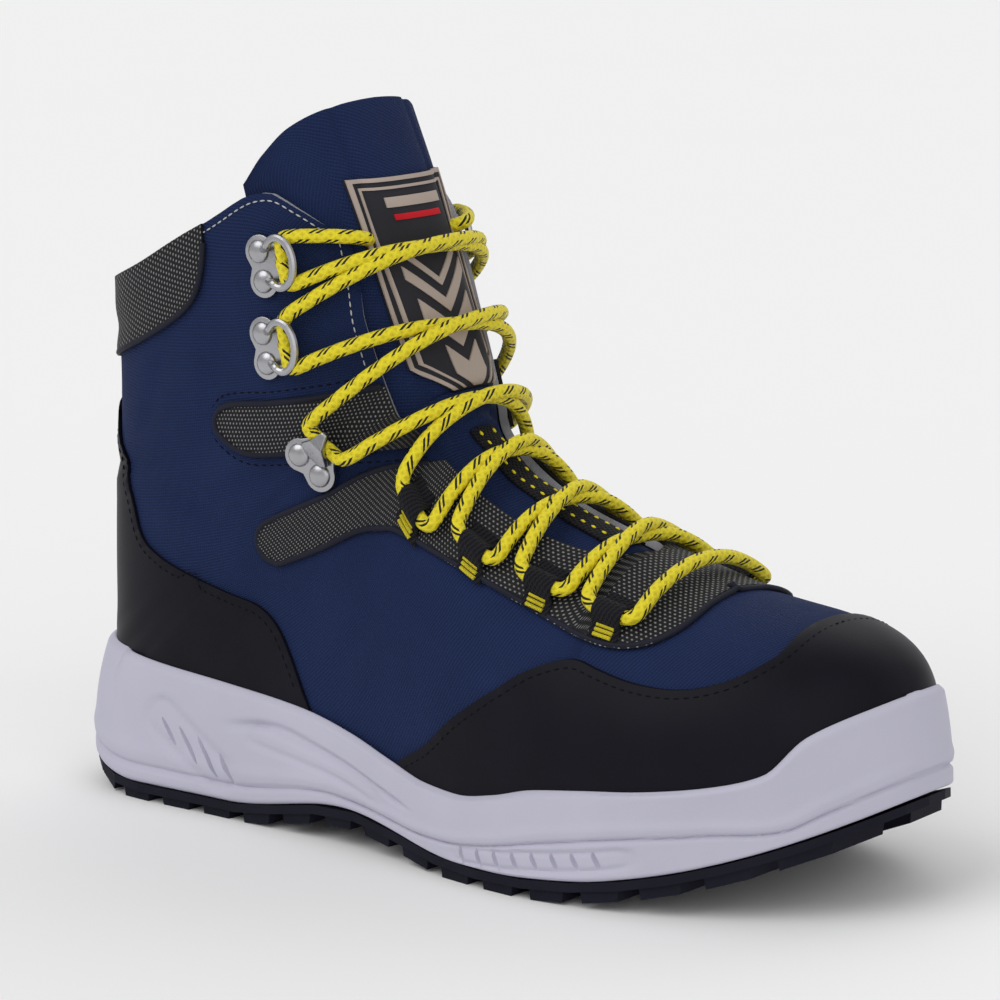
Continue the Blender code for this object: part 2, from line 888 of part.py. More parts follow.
def lug(mesh, start, end, side, depth):
    """A tread block from the sole's edge inward, over a share of its width."""
    made = bmesh.ops.create_cube(mesh, size=1.0)["verts"]
    for vertex in made:
        across = vertex.co.y + 0.5
        low = vertex.co.z < 0
        x = start + (end - start) * (vertex.co.x + 0.5) + LUG_SKEW * across
        if low:
            x += LUG_TAPER if vertex.co.x < 0 else -LUG_TAPER
        edge = plan_y(x, side, LUG_EDGE)
        far = plan_y(x, -side, LUG_EDGE)
        z = ground_z(x) if low else bottom_z(x) - GAP - OUTSOLE_BASE / 2
        vertex.co = (x, edge + (far - edge) * depth * across, z)


def plate_top(x):
    return bottom_z(x) - GAP


def plate_base(x):
    return plate_top(x) - OUTSOLE_BASE


def outsole(parts):
    rings = [plan_ring(EDGE_ROUND / 2, plate_top), plan_ring(EDGE_ROUND / 2, plate_base)]
    plate = add("outsole", ringed(rings), parts["rubber"], parts["group"])
    blocks = bmesh.new()
    pitch = LENGTH * TREAD_SHARE / LUG_PITCHES
    for i in range(LUG_PITCHES):
        start = HEEL_X + LENGTH * TREAD_START + pitch * (i + LUG_GAP)
        for side in (-1, 1):
            lug(blocks, start, start + pitch * LUG_SHARE, side, LUG_DEPTHS[i % 2])
    bmesh.ops.recalc_face_normals(blocks, faces=blocks.faces)
    cut(plate, guide("lugs", blocks, parts), "UNION")
    return smooth(settle(plate), 30)


def insole_base(x):
    return bed_z(x) + GAP


def insole_top(x):
    return insole_base(x) + INSOLE_THICK


def insole(parts):
    inset = FOLD_IN + WALL + INSOLE_FIT
    rings = [plan_ring(inset, insole_base), plan_ring(inset, insole_top)]
    return smooth(add("insole", ringed(rings), parts["lining"], parts["group"]), 30)


# Upper and overlays


def collar_shift(row, u):
    """Rows by which the collar's line moves the shaft's last rows."""
    if row < COLLAR_ROW - COLLAR_REACH:
        return 0.0
    return read(COLLAR, min(u, 1.0)) * (1 - (COLLAR_ROW - row) / COLLAR_REACH)


def upper_place(lift):
    def place(row, u, side):
        around = edge_share(row) * u
        return lifted(row + collar_shift(row, u), around, side, lift)

    return place


def upper(parts):
    made = add("upper", patch(MESH_ROWS, COLUMNS, upper_place(0.0)), parts["shell"], parts["group"])
    thicken(made, WALL, False)
    return smooth(settle(made))


def lip_guide(parts):
    """What lies below the midsole's rim, where no overlay reaches."""
    halves = []
    for side in (-1, 1):
        points = [(HEEL_X - MIDSOLE_HEIGHT, rim_z(0, side) + SEAT)]
        for station in STATIONS:
            rim = inner_point(station, side, 1.0)
            points.append((rim.x, rim.z + SEAT))
        points.append((HEEL_X + LENGTH + MIDSOLE_HEIGHT, rim_z(1, side) + SEAT))
        points += [(points[-1][0], -MIDSOLE_HEIGHT), (points[0][0], -MIDSOLE_HEIGHT)]
        halves.append(points)
    return guide("below_rim", two_prisms(halves), parts)


def overlay(name, outline, parts, finish, sides=(-1, 1), rim=None):
    """A piece of the form just outside the upper, inside an outline drawn in the side view."""
    form = patch(MESH_ROWS, COLUMNS, upper_place(GAP), sides)
    made = thicken(add(name, form, finish, parts["group"]), OVERLAY, True)
    points = [place_xz(point) for point in outline]
    shape = prism(points, 1, -BALL_WIDTH, BALL_WIDTH)
    cut(made, guide(name + "_outline", shape, parts), "INTERSECT")
    if rim:
        cut(made, rim)
    return smooth(settle(made))


def two_prisms(halves):
    """One solid with an outline of its own on each side of the boot."""
    mesh = bmesh.new()
    reach = BALL_WIDTH
    loops = []
    for y, outline in (
        (-reach, halves[0]),
        (CENTRE_Y - SEAT, halves[0]),
        (CENTRE_Y + SEAT, halves[1]),
        (reach, halves[1]),
    ):
        loops.append([mesh.verts.new((x, y, z)) for x, z in outline])
    for low, high in zip(loops, loops[1:]):
        for i in range(len(low)):
            j = (i + 1) % len(low)
            mesh.faces.new((low[i], low[j], high[j], high[i]))
    mesh.faces.new(loops[0])
    mesh.faces.new(loops[-1])
    bmesh.ops.recalc_face_normals(mesh, faces=mesh.faces)
    return mesh


def tongue_lift(around, row):
    """Depth of the tongue under the upper's form, rising towards the laces in the throat."""
    edge = edge_share(row)
    if edge > 0.98:
        return -WALL - SEAT
    t = min(max((around - edge) / (1 - edge), 0.0), 1.0)
    return -WALL - SEAT + (WALL - SEAT) * t * t * (3 - 2 * t)


# Top edge of the tongue: share around and row.
TONGUE_TOP = [(0.57, 24.55), (0.64, 25.00), (0.74, 25.35), (0.88, 25.55), (1.00, 25.62)]
TONGUE_COLUMNS = [1 - 2 / COLUMNS, 1 - 1 / COLUMNS, 1.0, 1.5, 2.0]
TONGUE_ROWS = [row for row in MESH_ROWS if row > 8] + [24.5, 25]


def tongue_place(extra):
    def place(row, u, side):
        column = TONGUE_COLUMNS[round(u * (len(TONGUE_COLUMNS) - 1))]
        at = min(row, COLLAR_ROW)
        edge = edge_share(at)
        around = edge * column if column <= 1 else edge + (1 - edge) * (column - 1)
        at += collar_shift(at, column)
        if row > COLLAR_ROW:
            at += (read(TONGUE_TOP, around) - at) * (row - COLLAR_ROW)
        return lifted(at, around, side, tongue_lift(around, at) + extra)

    return place


def tongue_patch(extra):
    return patch(TONGUE_ROWS, len(TONGUE_COLUMNS) - 1, tongue_place(extra))


def tongue(parts):
    made = add("tongue", tongue_patch(0.0), parts["shell"], parts["group"])
    thicken(made, TONGUE_THICK, False)
    return smooth(settle(made))


def badge(parts):
    made = add("badge", tongue_patch(GAP), parts["badge"], parts["group"])
    thicken(made, OVERLAY, True)
    outline = [(y * BALL_WIDTH, z * SHAFT_HEIGHT) for y, z in BADGE]
    shape = prism(outline, 0, HEEL_X + BADGE_BACK * LENGTH, HEEL_X + BADGE_FRONT * LENGTH)
    cut(made, guide("badge_outline", shape, parts), "INTERSECT")
    return smooth(settle(made))


def centre_webbing(parts):
    rows = [row for row in MESH_ROWS if 10 < row < 14.5]

    def place(row, u, side):
        around = STRIP_START + (1 - STRIP_START) * u
        return lifted(row, around, side, tongue_lift(around, row) + GAP)

    made = add("centre_webbing", patch(rows, 2, place), parts["webbing"], parts["group"])
    thicken(made, OVERLAY, True)
    return smooth(settle(made))


def row_for(x, around, side):
    """The row whose point at this share around lies at a place along the boot."""
    low, high = 0.0, float(HEEL_ROW)
    for _ in range(30):
        middle = (low + high) / 2
        if surface(middle, around, side).x > x:
            low = middle
        else:
            high = middle
    return (low + high) / 2


def tab_place(number, side):
    """Row, share around and half sizes of a lace tab in rows and in share around."""
    share_x, around = TABS[number]
    row = row_for(HEEL_X + share_x * LENGTH, around, side)
    along = (surface(row + 0.2, around, side) - surface(row - 0.2, around, side)).length / 0.4
    across = (surface(row, around + 0.02, side) - surface(row, around - 0.02, side)).length / 0.04
    return row, around, WEBBING_WIDTH / 2 / along, TAB_LENGTH / 2 / across


def tab(number, side, parts):
    row, around, half_row, half_around = tab_place(number, side)
    lift = OVERLAY + GAP + SEAT

    def place(at, u, side):
        return lifted(row + at * half_row, around + (2 * u - 1) * half_around, side, lift)

    name = "tab_%s_%d" % (label(side), number + 1)
    made = add(name, patch((-1, 1), 4, place, (side,)), parts["webbing"], parts["group"])
    thicken(made, WEBBING_THICK, True)
    return smooth(settle(made))


# Metal fittings


def seat_frame(x, z, side, turn, reach_u, reach_v):
    """A frame on the upper, its first axis forward, its last outward, lifted so that a flat
    piece of this reach clears the surface."""
    row, around = row_at(x, z)
    centre = surface(row, around, side)
    out = normal(row, around, side)
    up = Vector((math.sin(math.radians(turn)), 0, math.cos(math.radians(turn))))
    up = (up - out * up.dot(out)).normalized()
    ahead = up.cross(out).normalized()
    if ahead.x < 0:
        ahead = -ahead
    highest = 0.0
    for i in range(-6, 7):
        for j in range(-6, 7):
            point = centre + ahead * (reach_u * i / 6) + up * (reach_v * j / 6)
            near_row, near_around = row_at(point.x, point.z)
            near = surface(near_row, near_around, side)
            highest = max(highest, (near - centre).dot(out))
    frame = Matrix((ahead, out.cross(ahead), out)).transposed().to_4x4()
    return frame, centre, out, highest


def hook_frame(number, side):
    share_x, share_z, turn = HOOKS[number]
    x, z = place_xz((share_x, share_z))
    frame, centre, out, highest = seat_frame(x, z, side, turn, HOOK_HALF * 0.7, HOOK_HALF)
    over = OVERLAY + GAP if number == 2 else 0.0
    return Matrix.Translation(centre + out * (highest + over + SEAT)) @ frame


def arc(centre, radius, start, end, steps):
    points = []
    for i in range(steps + 1):
        angle = math.radians(start + (end - start) * i / steps)
        points.append((centre[0] + radius * math.cos(angle), centre[1] + radius * math.sin(angle)))
    return points


def hook_mesh(parts):
    """A plate with a curled barrel ahead of it that holds the lace."""
    centre = (BARREL_AHEAD, HOOK_PLATE + BARREL_RADIUS)
    back = -HOOK_HALF * 0.55
    outline = [(back, 0.0)]
    outline += arc(centre, BARREL_RADIUS + HOOK_PLATE, -90, 150, 4)
    outline += arc(centre, BARREL_RADIUS, 150, -90, 4)
    outline += [(back, HOOK_PLATE)]
    made = add("hook", prism(outline, 1, -BARREL_HALF, BARREL_HALF), parts["metal"], parts["group"])
    for number, lobe in enumerate(("lobe_low", "lobe_high")):
        single = bmesh.new()
        place = Matrix.Translation((0, (2 * number - 1) * RIVET_APART / 2, HOOK_PLATE * 0.5))
        bmesh.ops.create_cone(
            single,
            cap_ends=True,
            segments=8,
            radius1=HOOK_HALF - RIVET_APART / 2,
            radius2=HOOK_HALF - RIVET_APART / 2,
            depth=HOOK_PLATE * 0.98,
            matrix=place,
        )
        cut(made, guide(lobe, single, parts), "UNION")
    return smooth(settle(made))


def rivet_mesh():
    mesh = bmesh.new()
    bmesh.ops.create_cone(
        mesh,
        cap_ends=True,
        segments=8,
        radius1=RIVET_RADIUS,
        radius2=RIVET_RADIUS * 0.55,
        depth=HOOK_PLATE * 1.2,
        matrix=Matrix.Translation((0, 0, HOOK_PLATE * 0.6)),
    )
    return mesh


def hooks(parts):
    pattern = hook_mesh(parts)
    for side in (-1, 1):
        for number in range(len(HOOKS)):
            frame = hook_frame(number, side)
            hook = pattern.copy()
            hook.name = "hook_%s_%d" % (label(side), number + 1)
            hook.matrix_world = frame
            parts["group"].objects.link(hook)
            for end in (-1, 1):
                name = "rivet_%s_%d_%s" % (label(side), number + 1, "a" if end < 0 else "b")
                rivet = smooth(add(name, rivet_mesh(), parts["metal"], parts["group"]))
                place = Vector((0, end * RIVET_APART / 2, HOOK_PLATE + GAP))
                rivet.matrix_world = frame @ Matrix.Translation(place)
    bpy.data.objects.remove(pattern, do_unlink=True)


def drain(number, parts):
    """A ring round a drain hole of the inner side, above the midsole's rim."""
    rim = inner_point(DRAINS[number], 1, 1.0)
    z = rim.z + EYELET_ABOVE + EYELET_RADIUS
    frame, centre, out, highest = seat_frame(rim.x, z, 1, 0, EYELET_RADIUS, EYELET_RADIUS)
    mesh = bmesh.new()
    bmesh.ops.create_cone(
        mesh,
        cap_ends=True,
        segments=12,
        radius1=EYELET_RADIUS,
        radius2=EYELET_RADIUS * 0.8,
        depth=HOOK_PLATE,
    )
    hole = bmesh.new()
    bmesh.ops.create_cone(
        hole,
        cap_ends=True,
        segments=8,
        radius1=EYELET_RADIUS * 0.45,
        radius2=EYELET_RADIUS * 0.45,
        depth=HOOK_PLATE * 3,
    )
    name = "drain_%d" % (number + 1)
    ring = add(name, mesh, parts["metal"], parts["group"])
    cut(ring, guide(name + "_hole", hole, parts))
    settle(ring)
    seat = centre + out * (highest + 2 * SEAT + HOOK_PLATE / 2)
    ring.matrix_world = Matrix.Translation(seat) @ frame
    return smooth(ring)


# Loop of the back seam: distance behind it as a share of the loop's width and height as a
# share of the shaft height.
LOOP_PATH = [
    (0.10, 0.834),
    (0.34, 0.822),
    (0.62, 0.782),
    (0.72, 0.740),
    (0.58, 0.716),
    (0.38, 0.732),
    (0.26, 0.775),
]


def pull_loop(parts):
    points = rounded(LOOP_PATH, 2)

    def place(number, u, side):
        away, height = points[number]
        z = height * SHAFT_HEIGHT
        x = back_x(z) - GAP - LOOP_THICK / 2 - away * LOOP_WIDTH
        return Vector((x, CENTRE_Y + (u - 0.5) * LOOP_WIDTH, z))

    mesh = patch(list(range(len(points))), 1, place, (1,))
    made = thicken(add("pull_loop", mesh, parts["webbing"], parts["group"]), LOOP_THICK, True)
    made.modifiers["Thickness"].offset = 0.0
    return smooth(settle(made))


# Laces


def lace_path(start, end, steps=6):
    """Points over the throat from one place to another, each a row, a share around, a side and
    a lift."""
    points = []
    for i in range(steps):
        t = i / (steps - 1)
        row = start[0] + (end[0] - start[0]) * t
        across = start[2] * (1 - start[1]) * (1 - t) + end[2] * (1 - end[1]) * t
        lift = start[3] + (end[3] - start[3]) * t
        side = -1 if across < 0 else 1
        points.append(lifted(row, 1 - abs(across), side, lift))
    return points


def tab_exit(number, side, toward_toe):
    """Where the lace leaves a tab."""
    row, around, half_row, half_around = tab_place(number, side)
    step = half_row * (1 + (LACE_DIAMETER + 7 * SEAT) / WEBBING_WIDTH)
    return row + (-step if toward_toe else step), around, side, LACE_LIFT


def hook_exit(number, side, upward):
    """Where the lace leaves a hook's barrel."""
    frame = hook_frame(number, side)
    reach = BARREL_HALF + LACE_DIAMETER / 2 + 3 * SEAT
    ends = []
    for sign in (-1, 1):
        ends.append(frame @ Vector((BARREL_AHEAD, sign * reach, HOOK_PLATE + BARREL_RADIUS)))
    point = max(ends, key=lambda at: at.z) if upward else min(ends, key=lambda at: at.z)
    row, around = row_at(point.x, point.z)
    for _ in range(4):
        out = normal(row, around, side)
        lift = (point - surface(row, around, side)).dot(out)
        base = point - out * lift
        row, around = row_at(base.x, base.z)
    return row, around, side, max(lift, LACE_LIFT)


# Where the laces run, from the toe up: a fitting and its number, then the next one. A lace
# leaves the first upward and reaches the second from below.
CROSSINGS = [
    ("tab", 0, "tab", 1),
    ("tab", 1, "tab", 2),
    ("tab", 2, "tab", 3),
    ("tab", 3, "hook", 2),
    ("hook", 2, "hook", 1),
    ("hook", 1, "hook", 0),
]
END_ROW = 22.5
END_PAST = 0.045


def lace_exit(kind, number, side, upward):
    if kind == "tab":
        return tab_exit(number, side, not upward)
    return hook_exit(number, side, upward)


def laces(parts):
    group, finish = parts["group"], parts["lace"]
    radius = LACE_DIAMETER / 2
    bar = lace_path(tab_exit(0, -1, True), tab_exit(0, 1, True))
    tube("lace_bar", bar, radius, finish, group)
    for number, (kind, low, next_kind, high) in enumerate(CROSSINGS):
        name = "lace_cross_%d" % (number + 1)
        paths = []
        for side in (-1, 1):
            start = lace_exit(kind, low, side, True)
            paths.append(lace_path(start, lace_exit(next_kind, high, -side, False)))
        made = tube(name, paths[0], radius, finish, group)
        cut(made, cutting_tube(name + "_other", paths[1], radius, parts), "UNION")
        smooth(settle(made))
    for side in (-1, 1):
        end = (END_ROW, edge_share(END_ROW) + END_PAST, side, END_TUCK)
        path = lace_path(hook_exit(0, side, True), end, 4)
        tube("lace_end_" + label(side), path, radius, finish, group)


def build():
    clear_scene()
    parts = {
        "group": collection("wading_boot"),
        "cutters": collection("cutters"),
        "shell": material("navy_softshell", (0.014, 0.026, 0.076), 0.85),
        "rand": material("black_rubber_film", (0.012, 0.012, 0.016), 0.6),
        "mesh": material("charcoal_mesh", (0.05, 0.05, 0.06), 0.8),
        "foam": material("lavender_foam", (0.48, 0.47, 0.58), 0.55),
        "rubber": material("black_rubber", (0.017, 0.017, 0.03), 0.7),
        "lining": material("grey_lining", (0.2, 0.2, 0.22), 0.9),
        "webbing": material("black_webbing", (0.02, 0.02, 0.026), 0.75),
        "badge": material("charcoal_badge", (0.03, 0.03, 0.042), 0.6),
        "metal": material("gunmetal", (0.55, 0.55, 0.58), 0.3, 1.0),
        "lace": material("yellow_lace", (0.75, 0.73, 0.03), 0.7),
        "cutter": material("cutter", (0.8, 0.1, 0.1), 0.5),
    }
    midsole(parts)
    outsole(parts)
    insole(parts)
    upper(parts)
    tongue(parts)
    rim = lip_guide(parts)
    counter = COUNTER_TOP + [(COUNTER_TOP[-1][0], 0.0), (COUNTER_TOP[0][0], 0.0)]
    overlay("heel_counter", counter, parts, parts["rand"], rim=rim)
    toe_cap = RAND_TOP + [(0.880, RAND_PEAK), (1 + PAST_END, RAND_PEAK)]
    toe_cap += [(1 + PAST_END, 0.0), (RAND_TOP[0][0], 0.0)]
    overlay("toe_rand", toe_cap, parts, parts["rand"], rim=rim)
    vamp = rounded(VAMP_LINE, 2) + BAND_TOP
    overlay("mesh_vamp", vamp, parts, parts["mesh"])
    overlay("ankle_band_outer", ANKLE_BAND, parts, parts["mesh"], (-1,))
    overlay("ankle_band_inner", ANKLE_BAND, parts, parts["mesh"], (1,))
    overlay("collar_panel", COLLAR_PANEL, parts, parts["mesh"])
    pull_loop(parts)
    badge(parts)
    centre_webbing(parts)
    for side in (-1, 1):
        for number in range(len(TABS)):
            tab(number, side, parts)
    hooks(parts)
    for number in range(len(DRAINS)):
        drain(number, parts)
    laces(parts)


build()
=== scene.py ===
"""Looks of the wading boot: fine skins, trims, laces, fittings and materials round its solids.

Laid out as a Blender add-on and run as a script. Metres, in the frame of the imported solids: +Z up,
+X towards the toe, -Y the outer side.
"""

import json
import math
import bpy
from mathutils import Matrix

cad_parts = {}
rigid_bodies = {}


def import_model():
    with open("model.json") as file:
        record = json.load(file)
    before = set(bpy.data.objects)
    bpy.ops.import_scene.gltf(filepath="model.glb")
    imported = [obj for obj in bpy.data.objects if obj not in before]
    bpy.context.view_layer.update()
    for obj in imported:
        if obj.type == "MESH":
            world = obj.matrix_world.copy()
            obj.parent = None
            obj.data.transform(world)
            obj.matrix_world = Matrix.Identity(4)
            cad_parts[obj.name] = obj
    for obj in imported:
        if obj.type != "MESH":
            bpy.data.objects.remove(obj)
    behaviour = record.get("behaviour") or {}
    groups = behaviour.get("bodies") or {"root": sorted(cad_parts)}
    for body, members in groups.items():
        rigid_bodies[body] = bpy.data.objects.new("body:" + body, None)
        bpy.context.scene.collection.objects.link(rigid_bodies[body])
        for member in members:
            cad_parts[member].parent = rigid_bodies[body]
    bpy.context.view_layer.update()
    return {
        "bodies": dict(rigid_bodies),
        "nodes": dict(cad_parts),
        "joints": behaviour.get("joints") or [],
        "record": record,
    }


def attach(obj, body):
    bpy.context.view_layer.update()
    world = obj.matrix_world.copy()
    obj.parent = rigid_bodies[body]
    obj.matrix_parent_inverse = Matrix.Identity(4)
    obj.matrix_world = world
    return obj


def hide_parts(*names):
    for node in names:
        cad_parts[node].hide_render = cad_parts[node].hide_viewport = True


bl_info = {
    "name": "Wading boot looks",
    "version": (1, 0, 0),
    "blender": (4, 5, 0),
    "location": "View3D > Sidebar > Wading boot",
    "description": "Dresses the solids of a wading boot and sets up its studio",
    "category": "Object",
}

from collections import namedtuple
from functools import lru_cache

import bmesh
import bpy
from mathutils import Matrix, Vector

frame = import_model()

# Driving sizes
LENGTH = 0.310
BALL_WIDTH = 0.113
SHAFT_HEIGHT = 0.195
WALL = 0.0026
OVERLAY = 0.0010
GAP = 0.0003
SEAT = 0.0005
FOLD_IN = 0.0070
WELD = 0.00001
BACK_ROUND = 2.5

# Sole sizes
OUTSOLE_BASE = 0.0028
LUG_DEPTH = 0.0032
HEEL_BEVEL = 0.0090
ARCH_RISE = 0.0065
TOE_SPRING = 0.0270
MIDSOLE_HEIGHT = 0.0480
LIP = 0.0026
LIP_FIT = 0.0008
FOOT_FIT = 0.0009
EDGE_ROUND = 0.0014
GROOVE_DEPTH = 0.0009
RIB_WIDTH = 0.0014

# Places along the sole as shares of the length, and roundness of its ends
PLAN_ROUND = 2.3
HEEL_ROUND = 0.135
TOE_ROUND = 0.210
BEVEL_END = 0.130
ARCH_START = 0.250
ARCH_END = 0.600
SPRING_START = 0.620
SPRING_POWER = 2.2
WALL_FLARE = 2.4

# Fittings
LACE_DIAMETER = 0.0044
LACE_LIFT = 0.0044
HOOK_PLATE = 0.0012
HOOK_HALF = 0.0096
BARREL_HALF = 0.0042
BARREL_RADIUS = 0.0026
BARREL_AHEAD = 0.0088
RIVET_RADIUS = 0.0037
RIVET_APART = 0.0092
EYELET_RADIUS = 0.0048
EYELET_ABOVE = 0.0030
WEBBING_WIDTH = 0.0100
TAB_LENGTH = 0.0155
STRIP_START = 0.955
TONGUE_THICK = 0.0034
LOOP_WIDTH = 0.0120
LOOP_THICK = 0.0013
END_TUCK = 0.0024

# Sole plan: share of the length from the heel, half width and shift towards the inner side
# as shares of the ball width.
HALF_WIDTH, SHIFT = 1, 2
PLAN = [
    (0.00, 0.352, -0.020),
    (0.12, 0.358, -0.022),
    (0.25, 0.352, -0.030),
    (0.38, 0.352, -0.046),
    (0.50, 0.392, -0.046),
    (0.60, 0.455, -0.030),
    (0.68, 0.492, -0.006),
    (0.74, 0.494, 0.008),
    (0.82, 0.462, 0.030),
    (0.90, 0.420, 0.052),
    (1.00, 0.370, 0.075),
]

# Midsole rim: share of the length, height on the outer and the inner side as shares of the
# midsole height.
OUTER_RIM, INNER_RIM = 1, 2
RIM = [
    (0.00, 1.00, 1.00),
    (0.07, 0.98, 0.97),
    (0.16, 0.94, 0.91),
    (0.26, 0.89, 0.84),
    (0.36, 0.83, 0.80),
    (0.43, 0.74, 0.76),
    (0.49, 0.63, 0.69),
    (0.54, 0.55, 0.61),
    (0.59, 0.53, 0.55),
    (0.64, 0.58, 0.54),
    (0.69, 0.66, 0.59),
    (0.75, 0.71, 0.70),
    (0.82, 0.76, 0.78),
    (0.89, 0.83, 0.87),
    (0.925, 0.90, 0.95),
    (0.955, 1.12, 1.15),
    (1.00, 1.29, 1.29),
]

# Midsole floor: share of the length and thickness under the foot as a share of the midsole
# height.
BED = [
    (0.00, 0.30),
    (0.15, 0.35),
    (0.35, 0.24),
    (0.50, 0.19),
    (0.75, 0.175),
    (1.00, 0.15),
]

# Sections of the upper: place of the foot of the line along the length, its height above the
# footbed, place and height of its top, half widths outside and inside, share of the line where
# it is widest, roundness of the front, shift to the inner side. Lengths are shares of the
# length, heights of the shaft height, widths of the ball width.
Section = namedtuple("Section", "foot_x foot_z top_x top_z outer inner widest front shift")
SECTIONS = [
    (0.979, 0.00, 0.979, 0.275, 0.400, 0.400, 0.32, 2.6, 0.070),
    (0.976, 0.00, 0.976, 0.310, 0.400, 0.400, 0.33, 2.5, 0.069),
    (0.970, 0.00, 0.970, 0.335, 0.402, 0.402, 0.34, 2.4, 0.068),
    (0.959, 0.00, 0.959, 0.360, 0.406, 0.406, 0.34, 2.3, 0.064),
    (0.942, 0.00, 0.942, 0.382, 0.412, 0.412, 0.34, 2.3, 0.058),
    (0.916, 0.00, 0.915, 0.400, 0.420, 0.420, 0.34, 2.3, 0.050),
    (0.877, 0.00, 0.874, 0.417, 0.430, 0.432, 0.33, 2.2, 0.040),
    (0.832, 0.00, 0.826, 0.429, 0.440, 0.444, 0.32, 2.1, 0.030),
    (0.787, 0.00, 0.777, 0.444, 0.447, 0.450, 0.30, 2.0, 0.020),
    (0.748, 0.00, 0.735, 0.466, 0.447, 0.448, 0.28, 1.95, 0.012),
    (0.703, 0.00, 0.687, 0.492, 0.444, 0.438, 0.26, 1.9, 0.002),
    (0.652, 0.00, 0.635, 0.521, 0.432, 0.418, 0.25, 1.9, -0.008),
    (0.600, 0.00, 0.584, 0.556, 0.414, 0.393, 0.25, 1.9, -0.018),
    (0.542, 0.00, 0.540, 0.600, 0.388, 0.364, 0.26, 1.95, -0.024),
    (0.471, 0.00, 0.510, 0.644, 0.356, 0.338, 0.30, 2.0, -0.028),
    (0.387, 0.00, 0.500, 0.668, 0.330, 0.322, 0.38, 2.1, -0.030),
    (0.290, 0.00, 0.495, 0.684, 0.320, 0.322, 0.46, 2.2, -0.024),
    (0.187, 0.00, 0.491, 0.698, 0.322, 0.326, 0.52, 2.35, -0.016),
    (0.090, 0.00, 0.488, 0.710, 0.325, 0.328, 0.55, 2.5, -0.012),
    (0.023, 0.00, 0.485, 0.722, 0.328, 0.330, 0.55, 2.6, -0.010),
    (0.026, 0.14, 0.468, 0.772, 0.336, 0.340, 0.55, 2.75, -0.008),
    (0.032, 0.28, 0.448, 0.845, 0.342, 0.346, 0.55, 2.85, -0.006),
    (0.041, 0.43, 0.429, 0.920, 0.344, 0.348, 0.55, 2.9, -0.004),
    (0.046, 0.58, 0.413, 0.988, 0.344, 0.348, 0.55, 2.9, -0.002),
    (0.048, 0.69, 0.397, 1.050, 0.346, 0.348, 0.55, 2.9, 0.000),
    (0.048, 0.80, 0.379, 1.112, 0.346, 0.348, 0.55, 2.9, 0.000),
    (0.046, 0.91, 0.360, 1.177, 0.346, 0.348, 0.55, 2.9, 0.000),
]
HEEL_ROW = 19
COLLAR_ROW = 24
TOP_ROW = 26
COLLAR_REACH = 3

# Edge of the throat: row and share of the way round from the back or the sole to the ridge.
THROAT = [
    (9.6, 1.000),
    (9.85, 0.940),
    (10.4, 0.900),
    (11.0, 0.885),
    (13.0, 0.865),
    (16.0, 0.830),
    (19.0, 0.800),
    (21.0, 0.800),
    (22.5, 0.815),
    (24.0, 0.820),
    (26.0, 0.820),
]

# Collar line: share of the way from the back seam to the throat and rows above the last row.
COLLAR = [
    (0.00, 0.20),
    (0.25, 0.12),
    (0.45, 0.05),
    (0.60, 0.15),
    (0.72, 0.30),
    (0.78, 0.20),
    (0.85, -0.30),
    (0.92, -0.85),
    (1.00, -1.40),
]

# Outlines of the overlays in the side view, as shares of the length from the heel and of the
# shaft height.
COUNTER_TOP = [
    (-0.030, 0.700),
    (0.048, 0.651),
    (0.068, 0.615),
    (0.090, 0.574),
    (0.113, 0.503),
    (0.129, 0.441),
    (0.158, 0.413),
    (0.203, 0.392),
    (0.258, 0.372),
    (0.300, 0.359),
    (0.326, 0.331),
    (0.345, 0.282),
    (0.361, 0.231),
    (0.378, 0.180),
]
RAND_TOP = [
    (0.482, 0.110),
    (0.497, 0.155),
    (0.539, 0.195),
    (0.577, 0.246),
    (0.623, 0.297),
    (0.661, 0.336),
    (0.694, 0.356),
    (0.713, 0.359),
    (0.739, 0.349),
    (0.777, 0.338),
    (0.823, 0.336),
    (0.861, 0.349),
    (0.887, 0.372),
    (0.897, 0.395),
    (0.888, 0.440),
]
RAND_PEAK = 0.600
PAST_END = 0.030
VAMP_LINE = [
    (0.332, 0.433),
    (0.385, 0.466),
    (0.432, 0.501),
    (0.465, 0.510),
    (0.484, 0.507),
    (0.555, 0.466),
    (0.606, 0.438),
    (0.665, 0.408),
    (0.706, 0.388),
    (0.738, 0.380),
    (0.766, 0.383),
    (0.787, 0.397),
    (0.797, 0.422),
    (0.785, 0.470),
]
BAND_TOP = [
    (0.790, 0.560),
    (0.560, 0.612),
    (0.456, 0.600),
    (0.390, 0.549),
    (0.330, 0.508),
    (0.308, 0.488),
    (0.302, 0.462),
    (0.312, 0.440),
]
ANKLE_BAND = [
    (0.560, 0.650),
    (0.440, 0.625),
    (0.382, 0.619),
    (0.320, 0.606),
    (0.290, 0.606),
    (0.268, 0.620),
    (0.253, 0.642),
    (0.258, 0.668),
    (0.280, 0.682),
    (0.330, 0.690),
    (0.392, 0.707),
    (0.440, 0.724),
    (0.560, 0.760),
]
COLLAR_PANEL = [
    (0.244, 1.060),
    (0.245, 0.935),
    (0.241, 0.892),
    (0.229, 0.846),
    (0.200, 0.810),
    (0.139, 0.764),
    (0.060, 0.722),
    (-0.060, 0.700),
    (-0.060, 1.060),
]
BADGE = [
    (-0.190, 1.035),
    (0.190, 1.035),
    (0.172, 0.745),
    (0.000, 0.672),
    (-0.172, 0.745),
]
BADGE_BACK = 0.300
BADGE_FRONT = 0.630

# Lace tabs: share of the length and share of the way round.
TABS = [(0.728, 0.790), (0.648, 0.790), (0.568, 0.780), (0.493, 0.745)]

# Hooks in the side view: share of the length, share of the shaft height, turn in degrees.
HOOKS = [(0.322, 0.905, -11), (0.325, 0.777, -9), (0.377, 0.600, -50)]

